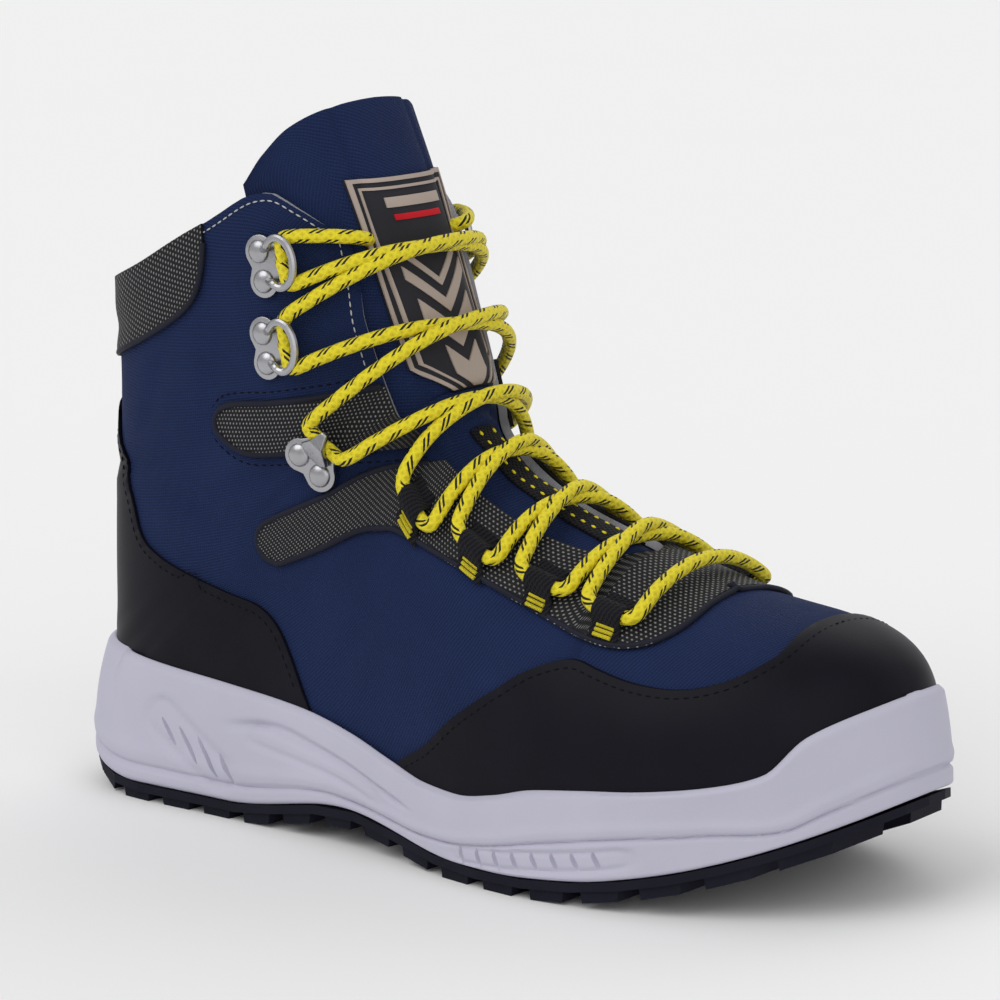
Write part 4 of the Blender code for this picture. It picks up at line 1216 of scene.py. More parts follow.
def relief(tree, shader, height, distance, strength=1.0):
    """Feeds a height in metres into the shader's normal."""
    bump = tree.nodes.new("ShaderNodeBump")
    bump.inputs["Distance"].default_value = distance
    bump.inputs["Strength"].default_value = strength
    tree.links.new(height, bump.inputs["Height"])
    tree.links.new(bump.outputs[0], shader.inputs["Normal"])


def tint(colour, factor):
    return tuple(min(channel * factor, 1.0) for channel in colour)


# Fineness of the fibres, the net's threads and the cast metal, in grains per metre.
FIBRE_GRAIN = 900.0
NET_GRAIN = 1200.0
METAL_GRAIN = 700.0


def cloth_material(name, colour, pitch, roughness, depth, contrast=0.25, sheen=0.03):
    """Woven cloth: threads, fibre and slight unevenness of the dye."""
    tree, shader, place, cloth = material(name, roughness, Sheen_Weight=sheen, Specular_IOR_Level=0.06)
    shader.inputs["Sheen Roughness"].default_value = 0.5
    weave = place_group(tree, "weave", cloth, pitch)
    fibre = place_group(tree, "grain", place, FIBRE_GRAIN)
    shade = calc(tree, "MULTIPLY_ADD", weave.outputs["Thread"], 0.5, 0.0)
    shade = calc(tree, "MULTIPLY_ADD", fibre.outputs["Patch"], 0.6, shade)
    low, high = tint(colour, 1 - contrast), tint(colour, 1 + contrast)
    tree.links.new(ramp(tree, shade, low, high, 0.15, 0.85), shader.inputs["Base Color"])
    height = calc(tree, "MULTIPLY_ADD", fibre.outputs["Height"], 0.6, weave.outputs["Height"])
    relief(tree, shader, height, depth)
    return tree, shader


def film_material(name, colour, roughness, depth, grain, coat=0.0, contrast=0.15):
    """Rubber, film or foam: one colour with fine grain and slight unevenness."""
    tree, shader, place, _ = material(name, roughness, Coat_Weight=coat, Specular_IOR_Level=0.06)
    shader.inputs["Coat Roughness"].default_value = 0.45
    skin = place_group(tree, "grain", place, grain)
    low, high = tint(colour, 1 - contrast), tint(colour, 1 + contrast)
    tree.links.new(ramp(tree, skin.outputs["Patch"], low, high, 0.3, 0.7), shader.inputs["Base Color"])
    sheen = calc(tree, "MULTIPLY_ADD", skin.outputs["Patch"], 0.16, roughness - 0.08)
    tree.links.new(sheen, shader.inputs["Roughness"])
    relief(tree, shader, skin.outputs["Height"], depth)
    return tree, shader


# Net: distance of its lanes as a share of the pitch, and how far each of the knots reaches, squared. The
# knots' rise also paints them paler towards their tops: a painted highlight.
LANE_SHARE = 0.8
KNOT_REACH = 0.11


def net_material(name, colours, pitch):
    """Open net over a dark ground: grey threads round small dark holes, in staggered rows, with a painted
    highlight on the raised top of each of the knots.
    """
    dark, thread_highlight = colours
    tree, shader, place, cloth = material(name, 0.62, Specular_IOR_Level=0.15)
    split = tree.nodes.new("ShaderNodeSeparateXYZ")
    tree.links.new(cloth, split.inputs[0])
    v = calc(tree, "DIVIDE", split.outputs[1], pitch * LANE_SHARE)
    lane = calc(tree, "FLOOR", v)
    u = calc(tree, "DIVIDE", split.outputs[0], pitch)
    u = calc(tree, "MULTIPLY_ADD", lane, 0.5, u)
    du = calc(tree, "SUBTRACT", calc(tree, "FRACT", u), 0.5)
    dv = calc(tree, "SUBTRACT", calc(tree, "FRACT", v), 0.5)
    reach = calc(tree, "ADD", calc(tree, "MULTIPLY", du, du), calc(tree, "MULTIPLY", dv, dv))
    knot_rise_and_highlight = calc(tree, "SUBTRACT", 1.0, calc(tree, "DIVIDE", reach, KNOT_REACH))
    knot_rise_and_highlight = calc(tree, "MAXIMUM", knot_rise_and_highlight, 0.0)
    skin = place_group(tree, "grain", place, NET_GRAIN)
    # Colour runs from the dark ground through the threads' grey to a painted highlight at the top of each
    # of the knots.
    shade = calc(tree, "MULTIPLY", knot_rise_and_highlight, calc(tree, "MULTIPLY_ADD", skin.outputs["Height"], 0.9, 0.4))
    tree.links.new(ramp(tree, shade, dark, thread_highlight, 0.1, 0.85), shader.inputs["Base Color"])
    relief(tree, shader, knot_rise_and_highlight, 0.0005)
    return tree, shader


# Braid of the lace: its turns along a metre and around, in radians, and its pairs of flecks.
BRAID_TURNS = 2300.0
BRAID_AROUND = 25.1
FLECKS_PER_METRE = 118.0

# Places of the two flecks of a pair and half their length, as shares of the way to the next pair.
FIRST_FLECK = 0.12
SECOND_FLECK = 0.36
FLECK_HALF = 0.065


def lace_material(name, colours):
    """Braided cord with pairs of dark flecks along it, darker in the grooves between its strands as
    painted shade.
    """
    dark, bright = colours
    tree, shader, _, cloth = material(name, 0.55, Sheen_Weight=0.05, Specular_IOR_Level=0.25)
    split = tree.nodes.new("ShaderNodeSeparateXYZ")
    tree.links.new(cloth, split.inputs[0])
    along, turn = split.outputs[0], split.outputs[1]
    left = calc(tree, "MULTIPLY_ADD", along, BRAID_TURNS, calc(tree, "MULTIPLY", turn, BRAID_AROUND))
    right = calc(tree, "MULTIPLY_ADD", along, BRAID_TURNS, calc(tree, "MULTIPLY", turn, -BRAID_AROUND))
    left, right = calc(tree, "SINE", left), calc(tree, "SINE", right)
    braid_rise_and_shade = calc(tree, "MULTIPLY_ADD", calc(tree, "MAXIMUM", left, right), 0.5, 0.5)
    beat = calc(tree, "MULTIPLY_ADD", along, FLECKS_PER_METRE, calc(tree, "MULTIPLY", turn, 2.0))
    beat = calc(tree, "FRACT", beat)
    first = calc(tree, "COMPARE", beat, FIRST_FLECK, FLECK_HALF)
    second = calc(tree, "COMPARE", beat, SECOND_FLECK, FLECK_HALF)
    fleck = calc(tree, "MAXIMUM", first, second)
    window = calc(tree, "COMPARE", calc(tree, "FRACT", calc(tree, "MULTIPLY", turn, 3.0)), 0.5, 0.3)
    fleck = calc(tree, "MULTIPLY", fleck, window)
    # The grooves between the strands take a darker yellow: painted shade.
    shade = calc(tree, "SUBTRACT", calc(tree, "MULTIPLY_ADD", braid_rise_and_shade, 0.4, 0.6), fleck)
    tree.links.new(ramp(tree, shade, dark, bright, 0.2, 0.75), shader.inputs["Base Color"])
    relief(tree, shader, braid_rise_and_shade, 0.0004)
    return tree, shader


def metal_material(name, colour, roughness):
    """Satin metal with a faint cast grain."""
    tree, shader, place, _ = material(name, roughness, metallic=1.0)
    skin = place_group(tree, "grain", place, METAL_GRAIN)
    low, high = tint(colour, 0.9), tint(colour, 1.1)
    tree.links.new(ramp(tree, skin.outputs["Patch"], low, high), shader.inputs["Base Color"])
    sheen = calc(tree, "MULTIPLY_ADD", skin.outputs["Height"], 0.14, roughness - 0.07)
    tree.links.new(sheen, shader.inputs["Roughness"])
    relief(tree, shader, skin.outputs["Height"], 0.00008)
    return tree, shader


# Sizes and colours


class BootSizes(bpy.types.PropertyGroup):
    """Sizes of the dressed boot that a user would change."""

    overlay: bpy.props.FloatProperty(
        name="Overlay", description="Thickness of the sewn panels", default=OVERLAY, unit="LENGTH"
    )
    piping: bpy.props.FloatProperty(
        name="Piping", description="Radius of the raised cord round the net", default=0.0011, unit="LENGTH"
    )
    stitch: bpy.props.FloatProperty(
        name="Stitch", description="Distance from stitch to stitch", default=0.0030, unit="LENGTH"
    )
    lace: bpy.props.FloatProperty(
        name="Lace", description="Diameter of the lace", default=LACE_DIAMETER, unit="LENGTH"
    )
    net: bpy.props.FloatProperty(
        name="Net", description="Distance between the knots of the net", default=0.0017, unit="LENGTH"
    )
    lens: bpy.props.FloatProperty(
        name="Lens", description="Focal length of the camera in millimetres", default=137.0
    )


def colour_property(name, description, default):
    return bpy.props.FloatVectorProperty(
        name=name, description=description, default=default, subtype="COLOR", size=3, min=0.0, max=1.0
    )


class BootColours(bpy.types.PropertyGroup):
    """Colours of the dressed boot."""

    shell: colour_property("Softshell", "Cloth of the upper and the tongue", (0.0125, 0.0228, 0.0720))
    rand: colour_property("Rand", "Film on the toe and the heel", (0.0062, 0.0062, 0.0105))
    net_dark: colour_property("Net ground", "Ground under the net", (0.010, 0.010, 0.012))
    # The pale end of the net's colour: the threads' tone with a painted highlight on the knots' tops.
    net_thread_highlight: colour_property("Net thread", "Threads of the net", (0.300, 0.300, 0.300))
    piping: colour_property("Piping", "Raised cord round the net", (0.017, 0.018, 0.028))
    foam: colour_property("Foam", "Midsole", (0.490, 0.480, 0.575))
    rubber: colour_property("Rubber", "Outsole", (0.012, 0.012, 0.020))
    lining: colour_property("Lining", "Inside of the boot", (0.230, 0.230, 0.250))
    webbing: colour_property("Webbing", "Tabs, centre strip and pull loop", (0.011, 0.011, 0.014))
    badge: colour_property("Badge", "Field of the shield", (0.026, 0.026, 0.032))
    relief: colour_property("Badge relief", "Raised lines of the shield", (0.400, 0.330, 0.290))
    accent: colour_property("Accent", "Small bar of the shield", (0.480, 0.014, 0.022))
    metal: colour_property("Metal", "Hooks, rivets and drains", (0.420, 0.420, 0.440))
    lace: colour_property("Lace", "Lace and tab stitches", (0.760, 0.640, 0.018))


class BOOT_OT_materials(bpy.types.Operator):
    """Makes the boot's materials"""

    bl_idname = "boot.materials"
    bl_label = "Materials"

    def execute(self, context):
        colour = context.scene.boot_colours
        sizes = context.scene.boot_sizes
        grain_group()
        weave_group()
        cloth_material("softshell", colour.shell, 0.0011, 0.75, 0.00022, 0.22, 0.01)
        cloth_material("lining", colour.lining, 0.0014, 0.9, 0.00012, 0.12, 0.02)
        cloth_material("binding", tint(colour.lining, 1.5), 0.0010, 0.85, 0.0001, 0.1, 0.02)
        cloth_material("webbing", colour.webbing, 0.0014, 0.7, 0.0004, 0.5, 0.03)
        cloth_material("light_thread", (0.45, 0.45, 0.46), 0.0008, 0.8, 0.0001)
        cloth_material("dark_thread", (0.004, 0.004, 0.007), 0.0008, 0.8, 0.0001)
        cloth_material("yellow_thread", colour.lace, 0.0008, 0.7, 0.0001, 0.1, 0.1)
        film_material("rand_film", colour.rand, 0.46, 0.00006, 1500.0, 0.05)
        film_material("piping", colour.piping, 0.55, 0.0001, 900.0)
        film_material("foam", colour.foam, 0.5, 0.00005, 1800.0, 0.0, 0.02)
        film_material("rubber", colour.rubber, 0.6, 0.0001, 900.0)
        film_material("badge_field", colour.badge, 0.5, 0.00008, 1300.0)
        film_material("badge_relief", colour.relief, 0.55, 0.00008, 1300.0, 0.0, 0.06)
        film_material("badge_accent", colour.accent, 0.5, 0.00005, 1300.0)
        net_material("net", (colour.net_dark, colour.net_thread_highlight), sizes.net)
        lace_material("lace", ((0.006, 0.006, 0.004), colour.lace))
        metal_material("metal", colour.metal, 0.3)
        metal_material("dark_metal", tint(colour.metal, 0.4), 0.35)
        return {"FINISHED"}


# Upper


# Rows that the upper's mesh is made on.
UPPER_ROWS = spread(0, 3, 26) + spread(3, 9.6, 36)[1:]
UPPER_ROWS += spread(9.6, 19, 84)[1:] + spread(19, 24, 52)[1:]


def skin_place(lift):
    """Places points of a skin over the creased form, out to the throat and the collar line."""

    def place(row, u, side):
        around = edge_share(row) * u
        return formed(row + collar_shift(row, u), around, side, lift)

    return place


def throat_line(lift, side, inward=0.0):
    """The throat's edge from the vamp up to the collar."""
    line = []
    for row in spread(9.75, 24, 90):
        u = 1.0 - inward / 0.12
        line.append(formed(row + collar_shift(row, u), edge_share(row) * u, side, lift))
    return line


def collar_line(lift, side, drop=0.0, end=1.0):
    """The collar's edge from the back seam to the throat, or a line a few rows under it."""
    line = []
    for u in spread(0.0, end, 60):
        row = COLLAR_ROW + collar_shift(COLLAR_ROW, u) - drop
        line.append(formed(row, edge_share(row) * u, side, lift))
    return line


class BOOT_OT_upper(bpy.types.Operator):
    """Makes the softshell wall with its lining and its bound edges"""

    bl_idname = "boot.upper"
    bl_label = "Upper"

    def execute(self, context):
        skin = patch(UPPER_ROWS, 34, skin_place(0.0))
        shell = add("upper_skin", skin, ("softshell", "lining", "binding"))
        thicken(shell, WALL, False, inside=1, rim=2)
        soften(shell, 0.0009, 60, 3)
        stand_for(settle(shell), ["upper"], "navy_softshell")
        topline = []
        for side in (-1, 1):
            collar = collar_line(0.0002, side, 0.16, 0.985)
            topline.append(collar[18:])
            topline.append(throat_line(0.0002, side, 0.0045)[52:])
        stitches("topline_stitches", topline, "light_thread", "grey_lining", 0.0026, 0.0021, 0.00028)
        return {"FINISHED"}


def overlay(name, rows, outline, finish, nodes, slot, sides=(-1, 1), thickness=None):
    """A sewn panel: the creased form just outside the upper, inside an outline of the side view."""
    thickness = thickness or bpy.context.scene.boot_sizes.overlay
    made = add(name, patch(rows, 34, skin_place(GAP), sides), finish)
    thicken(made, thickness, True)
    line = [place_xz(point) for point in outline]
    cut(made, prism(line, 1, -BALL_WIDTH, BALL_WIDTH), "INTERSECT")
    soften(made, thickness * 0.45, 50, 2)
    return stand_for(settle(made, 50), nodes, slot)


def fine(outline, steps=5):
    return rounded(outline, steps)


def metres(outline):
    return [place_xz(point) for point in outline]


class BOOT_OT_panels(bpy.types.Operator):
    """Makes the heel counter, the toe rand and the net panels with their piping"""

    bl_idname = "boot.panels"
    bl_label = "Panels"

    def execute(self, context):
        sizes = context.scene.boot_sizes
        counter = fine(COUNTER_TOP) + [(COUNTER_TOP[-1][0], 0.0), (COUNTER_TOP[0][0], 0.0)]
        rows = spread(14.5, 19, 40) + spread(19, 23, 36)[1:]
        overlay("heel_counter_skin", rows, counter, "rand_film", ["heel_counter"], "black_film")
        cap = fine(RAND_TOP) + [(0.880, RAND_PEAK), (1 + PAST_END, RAND_PEAK)]
        cap += [(1 + PAST_END, 0.0), (RAND_TOP[0][0], 0.0)]
        rows = spread(0, 3, 26) + spread(3, 9.6, 36)[1:] + spread(9.6, 15.5, 36)[1:]
        overlay("toe_rand_skin", rows, cap, "rand_film", ["toe_rand"], "black_film")
        vamp = fine(VAMP_LINE) + fine(BAND_TOP)
        rows = spread(5, 9.6, 28) + spread(9.6, 20.5, 90)[1:]
        overlay("mesh_vamp_skin", rows, vamp, "net", ["mesh_vamp"], "charcoal_mesh")
        band = fine(ANKLE_BAND)
        for side in (-1, 1):
            name = "ankle_band_" + label(side)
            rows = spread(13, 23.8, 90)
            overlay(name + "_skin", rows, band, "net", [name], "charcoal_mesh", (side,))
        panel = fine(COLLAR_PANEL[1:8]) + [COLLAR_PANEL[8], COLLAR_PANEL[0]]
        rows = spread(20.0, 24, 50)
        overlay("collar_panel_skin", rows, panel, "net", ["collar_panel"], "charcoal_mesh")
        cords = []
        seams = []
        for side in (-1, 1):
            lift = GAP + sizes.overlay * 0.5
            film = GAP + sizes.overlay
            cords.append(on_form(metres(VAMP_LINE), side, lift))
            cords.append(on_form(metres(BAND_TOP[1:] + VAMP_LINE[:1]), side, lift))
            cords.append(on_form(metres(ANKLE_BAND[1:-1]), side, lift))
            cords.append(on_form(metres(COLLAR_PANEL[1:7]), side, lift))
            seams.append(on_form(metres(shift_line(fine(VAMP_LINE)[3:-3], -0.010)), side, 0.0, 2))
            seams.append(on_form(metres(shift_line(fine(ANKLE_BAND)[3:-3], -0.011)), side, 0.0, 2))
            seams.append(on_form(metres(shift_line(fine(COUNTER_TOP)[6:-6], 0.009)), side, film, 2))
            seams.append(on_form(metres(shift_line(fine(RAND_TOP)[6:-4], 0.009)), side, film, 2))
        seam = on_form(metres(INNER_SEAM), 1, 0.0)
        trim("inner_seam", [seam], 0.00045, "dark_thread", "navy_softshell")
        trim("net_piping", cords, sizes.piping, "piping", "black_film", 0.85)
        stitches("panel_stitches", seams, "dark_thread", "black_film", sizes.stitch, 0.0021, 0.00026)
        return {"FINISHED"}


# The seam down the inner side's waist, in shares of the length and the shaft's height.
INNER_SEAM = [(0.512, 0.450), (0.490, 0.350), (0.455, 0.215)]


def shift_line(outline, away):
    """The outline moved to its right by a share of the length, as a seam runs beside an edge."""
    moved = []
    count = len(outline) - 1
    for i, (x, z) in enumerate(outline):
        before, after = outline[max(i - 1, 0)], outline[min(i + 1, count)]
        ahead = Vector(((after[0] - before[0]) * LENGTH, (after[1] - before[1]) * SHAFT_HEIGHT))
        out = Vector((ahead.y, -ahead.x)).normalized() * (away * LENGTH)
        moved.append((x + out.x / LENGTH, z + out.y / SHAFT_HEIGHT))
    return moved


# Tongue


TONGUE_START = 0.70


def tongue_around(row, u):
    """Share around on the tongue: u is 0 under the upper's wall and 1 at the ridge."""
    edge = edge_share(row)
    return edge * TONGUE_START + (1 - edge * TONGUE_START) * u


def puff(row, around):
    """Soft cross folds of the tongue between the laces and its long side pleats."""
    t = min(max((around - edge_share(row)) / (1 - edge_share(row)), 0.0), 1.0)
    low = min(max((row - 10.5) / 2, 0.0), 1.0) * min(max((19.6 - row) / 1.5, 0.0), 1.0)
    wave = math.sin((row - 10.2) * 4.4) * 0.0007 * low * t
    return wave - 0.0010 * math.exp(-(((t - 0.45) / 0.09) ** 2)) * min(max((row - 11) / 3, 0.0), 1.0)


def tongue_place(extra):
    def place(row, u, side):
        at = min(row, COLLAR_ROW)
        around = tongue_around(at, u)
        edge = edge_share(at)
        column = around / edge
        at += collar_shift(at, min(column, 1.0))
        if row > COLLAR_ROW:
            at += (read(TONGUE_TOP, around) - at) * (row - COLLAR_ROW)
        lift = tongue_lift(around, at) + extra + (puff(at, around) if edge < 0.98 else 0.0)
        return lifted(at, around, side, lift)

    return place


class BOOT_OT_tongue(bpy.types.Operator):
    """Makes the tongue with its shield and its centre strip"""

    bl_idname = "boot.tongue"
    bl_label = "Tongue"

    def execute(self, context):
        rows = spread(9.0, 24, 130) + spread(24, 25, 16)[1:]
        skin = patch(rows, 40, tongue_place(0.0))
        made = add("tongue_skin", skin, ("softshell", "lining", "softshell"))
        thicken(made, TONGUE_THICK, False, inside=1, rim=2)
        soften(made, 0.0014, 60, 4)
        stand_for(settle(made), ["tongue"], "navy_softshell")
        shield_pieces()
        centre_strip()
        return {"FINISHED"}


def shrink(outline, inset):
    """The outline drawn in towards its middle by about the inset, in metres."""
    count = len(outline)
    drawn = []
    for i in range(count):
        before, here, after = (Vector(outline[k % count]) for k in (i - 1, i, i + 1))
        first = (here - before).normalized()
        second = (after - here).normalized()
        out = Vector((first.y, -first.x)) + Vector((second.y, -second.x))
        scale = inset / max(1 + first.dot(second), 0.2)
        drawn.append(tuple(here - out * scale))
    return drawn


def shield_layer(name, outline, low, high, finish, hole=None, nodes=()):
    """A flat piece of the shield between two heights over the tongue."""
    rows = spread(18.6, 24, 90) + spread(24, 25, 16)[1:]
    made = add(name, patch(rows, 46, tongue_place(low)), finish)
    thicken(made, high - low, True)
    reach = HEEL_X + BADGE_BACK * LENGTH, HEEL_X + BADGE_FRONT * LENGTH
    cut(made, prism(outline, 0, *reach), "INTERSECT")
    if hole:
        cut(made, prism(hole, 0, *reach), "DIFFERENCE")
    soften(made, 0.00018, 50, 2)
    return stand_for(settle(made, 50), nodes, "charcoal_badge")


def shield_pieces():
    outer = [(y * BALL_WIDTH, z * SHAFT_HEIGHT) for y, z in BADGE]
    if sum(a[0] * b[1] - b[0] * a[1] for a, b in zip(outer, outer[1:] + outer[:1])) < 0:
        outer.reverse()
    edge = shrink(outer, -0.0001)
    shield_layer("badge_plate", outer, GAP, GAP + OVERLAY, "badge_field", nodes=["badge"])
    border = GAP + OVERLAY * 0.9
    top = GAP + OVERLAY + 0.00045
    shield_layer("badge_border", edge, border, top, "badge_relief", shrink(outer, 0.0011))
    inner = shrink(outer, 0.0026)
    shield_layer("badge_line", inner, border, top, "badge_relief", shrink(outer, 0.0034))
    width = abs(inner[0][0])
    base = min(z for y, z in inner)
    height = max(z for y, z in inner) - base
    for number, (low, high, slope, thick) in enumerate(CHEVRONS):
        z0 = base + height * low
        half = width * high
        drop = half * slope
        shape = [(-half, z0 + drop), (0.0, z0), (half, z0 + drop)]
        shape += [(half, z0 + drop + thick), (0.0, z0 + thick), (-half, z0 + drop + thick)]
        shield_layer("badge_chevron_%d" % (number + 1), shape, border, top, "badge_relief")
    for name, low, half, thick, finish in BARS:
        z0 = base + height * low
        reach = width * half
        bar = [(-reach, z0), (reach, z0), (reach, z0 + thick), (-reach, z0 + thick)]
        shield_layer(name, bar, border, top, finish)


# Chevrons of the shield: height and half width as shares of its field, slope, thickness.
CHEVRONS = [
    (0.05, 0.42, 0.80, 0.0085),
    (0.25, 0.68, 0.80, 0.0062),
    (0.41, 0.80, 0.80, 0.0040),
    (0.53, 0.80, 0.80, 0.0024),
]
# Bars over the chevrons: name, height and half width as shares of the field, thickness, finish.
BARS = [
    ("badge_bar", 0.905, 0.72, 0.0030, "badge_relief"),
    ("badge_accent_bar", 0.845, 0.62, 0.0018, "badge_accent"),
]


# Rows at the ends of the centre strip and of its seams, and the seams' column across it.
STRIP_ROWS = (10.15, 14.4)
SEAM_ROWS = (10.3, 14.3)
SEAM_COLUMN = 0.45


def centre_strip():
    rows = spread(STRIP_ROWS[0], STRIP_ROWS[1], 40)

    def place(row, u, side):
        around = STRIP_START + (1 - STRIP_START) * u
        return lifted(row, around, side, tongue_lift(around, row) + GAP + puff(row, around))

    made = add("centre_strip", patch(rows, 8, place), "webbing")
    thicken(made, OVERLAY, True)
    soften(made, 0.0003)
    stand_for(settle(made), ["centre_webbing"], "black_webbing")
    lines = []
    for side in (-1, 1):
        line = []
        for row in spread(SEAM_ROWS[0], SEAM_ROWS[1], 40):
            around = STRIP_START + (1 - STRIP_START) * SEAM_COLUMN
            lift = tongue_lift(around, row) + GAP + OVERLAY + puff(row, around)
            line.append(lifted(row, around, side, lift))
        lines.append(line)
    stitches("strip_stitches", lines, "yellow_thread", "yellow_lace", 0.0040, 0.0020, 0.0005)


# Sole


# Relief of the midsole's wall: depths in metres, half widths as shares of the wall's height.
LONG_GROOVE_DEPTH = 0.0011
LONG_GROOVE_HALF = 0.022
SWELL_RISE = 0.0005
SWELL_ABOVE = 0.12
SWELL_HALF = 0.07
CHANNEL_DEPTH = 0.0014
CHANNEL_HALF = 0.040


def side_relief(station, level):
    """How far the midsole's wall stands out: the long groove, the swell over it and the channel
    along the waist."""
    away = level - read(GROOVE, station)
    depth = SWELL_RISE * math.exp(-(((away - SWELL_ABOVE) / SWELL_HALF) ** 2))
    depth -= LONG_GROOVE_DEPTH * math.exp(-((away / LONG_GROOVE_HALF) ** 2))
    if CHANNEL[0][0] < station < CHANNEL[-1][0]:
        ends = min(station - CHANNEL[0][0], CHANNEL[-1][0] - station) / 0.03
        away = level - read(CHANNEL, station)
        depth -= CHANNEL_DEPTH * math.exp(-((away / CHANNEL_HALF) ** 2)) * min(ends, 1.0)
    for pill in PILLS:
        right, high = station - pill.station, (level - pill.level) * PILL_ASPECT
        ahead = right * math.cos(pill.turn) + high * math.sin(pill.turn)
        up = high * math.cos(pill.turn) - right * math.sin(pill.turn)
        away = math.hypot(max(abs(ahead) - pill.length, 0.0), up) - pill.width
        depth -= PILL_EDGE * math.exp(-((away / PILL_SOFT) ** 2))
        depth -= PILL_DEPTH * min(max(-away / PILL_SOFT, 0.0), 1.0)
    return depth


# Rounded fields pressed into the wall: station, share of its height, half length and half width
# as shares of the length, and turn.
Pill = namedtuple("Pill", "station level length width turn")
PILLS = [
    Pill(0.205, 0.42, 0.048, 0.020, -0.55),
    Pill(0.385, 0.52, 0.085, 0.0125, -0.22),
    Pill(0.695, 0.215, 0.088, 0.0150, 0.06),
]
PILL_ASPECT = 0.14
PILL_EDGE = 0.0008
PILL_DEPTH = 0.0003
PILL_SOFT = 0.0040


# Shares of the wall's height over which its edges are rounded and its relief starts, the part
# of the rounding that its rim gets, and the step along it that gives its outward direction.
EDGE_BAND = 0.05
RELIEF_BAND = 0.035
RIM_PART = 0.7
WALL_STEP = 0.004


def wall_place():
    """Places points of the midsole's outer wall with its relief and its rounded edges."""

    @lru_cache(maxsize=None)
    def edges(station, side):
        rim = rim_z(station, side)
        low = plan_point(station, side, 0.0, bottom_z)
        high = round_slice(station, rim, side, LIP_FIT + LIP)
        ahead = plan_point(min(station + WALL_STEP, 1.0), side, 0.0, bottom_z)
        behind = plan_point(max(station - WALL_STEP, 0.0), side, 0.0, bottom_z)
        along = ahead - behind
        out = Vector((-along.y, along.x, 0.0)).normalized() * side
        if station <= 0.0 or station >= 1.0:
            out = Vector((1.0 if station >= 1.0 else -1.0, 0.0, 0.0))
        return low, high, out

    def place(station, u, side):
        low, high, out = edges(station, side)
        point = low.lerp(high, u**WALL_FLARE)
        point.z = low.z + (high.z - low.z) * u
        fade = min(u / RELIEF_BAND, 1.0), min((1 - u) / EDGE_BAND, 1.0)
        rim = max((u - (1 - EDGE_BAND)) / EDGE_BAND, 0.0) ** 2 * RIM_PART
        tuck = EDGE_ROUND * ((1 - min(u / EDGE_BAND, 1.0)) ** 2 + rim)
        return point + out * (side_relief(station, u) * fade[0] * fade[1] - tuck)

    return place


def lip_place():
    """The rim's top and the midsole's inner wall down towards the footbed."""

    @lru_cache(maxsize=None)
    def edges(station, side):
        rim = rim_z(station, side)
        outer = round_slice(station, rim, side, LIP_FIT + LIP - EDGE_ROUND * 0.7)
        deep = inner_point(station, side, 0.3, 3 * LIP_FIT)
        return outer, inner_point(station, side, 1.0), deep

    def place(station, u, side):
        outer, top, deep = edges(station, side)
        if u < 0.5:
            point = outer.lerp(top, u * 2)
            point.z += EDGE_ROUND * 0.35 * math.sin(math.pi * u * 2)
            return point
        return top.lerp(deep, u * 2 - 1)

    return place


def slots(side):
    """Slanted slots near the heel and along the forefoot."""
    mesh = bmesh.new()
    for row in (HEEL_SLOTS, FRONT_SLOTS):
        for i in range(row.count):
            length = row.length - row.shorter * abs(i - row.count / 2)
            station, level = row.station + row.pitch * i, row.level + row.fall * i
            centre = wall_point(station, side, level)
            ahead = (wall_point(station + 0.01, side, level) - centre).normalized()
            up = wall_point(station, side, level + 0.05) - wall_point(station, side, level - 0.05)
            out = ahead.cross(up).normalized() * -side
            up = out.cross(ahead).normalized() * (1 if side < 0 else -1)
            turn = math.radians(row.slant)
            long = (up * math.cos(turn) - ahead * math.sin(turn)).normalized()
            wide = (ahead * math.cos(turn) + up * math.sin(turn)).normalized()
            size = Matrix((wide * RIB_WIDTH, out * (3 * GROOVE_DEPTH), long * length)).transposed()
            bmesh.ops.create_icosphere(
                mesh, subdivisions=3, radius=0.62, matrix=Matrix.Translation(centre) @ size.to_4x4()
            )
    bmesh.ops.recalc_face_normals(mesh, faces=mesh.faces)
    return mesh


class BOOT_OT_sole(bpy.types.Operator):
    """Makes the midsole's sculpted wall and finishes the outsole and the footbed"""

    bl_idname = "boot.sole"
    bl_label = "Sole"

    def execute(self, context):
        stations = [(1 - math.cos(math.pi * i / 190)) / 2 for i in range(191)]
        mesh = patch(stations, 44, wall_place())
        lip = patch(stations, 8, lip_place())
        data = bpy.data.meshes.new("lip")
        lip.to_mesh(data)
        lip.free()
        mesh.from_mesh(data)
        bmesh.ops.remove_doubles(mesh, verts=mesh.verts, dist=0.0001)
        made = add("midsole_skin", capped(mesh), "foam")
        for side in (-1, 1):
            cut(made, slots(side))
        stand_for(settle(made, 45), ["midsole"], "lavender_foam")
        for name, finish in (("outsole", "rubber"), ("insole", "lining")):
            node = frame["nodes"][name]
            node.data.materials.clear()
            node.data.materials.append(bpy.data.materials[finish])
        return {"FINISHED"}


# Fittings


def tab_patch(number, side):
    """A folded strip with the lace's tunnel at its upper end."""
    row, around, half_row, half_around = tab_place(number, side)
    lift = bpy.context.scene.boot_sizes.overlay + GAP

    def place(at, u, side):
        t = 2 * u - 1
        tunnel = (LACE_DIAMETER + 0.0006) * math.exp(-((t / 0.38) ** 4))
        edge = 0.0004 * abs(at) ** 6
        return formed(row + at * half_row, around + t * half_around, side, lift + tunnel - edge)

    return place


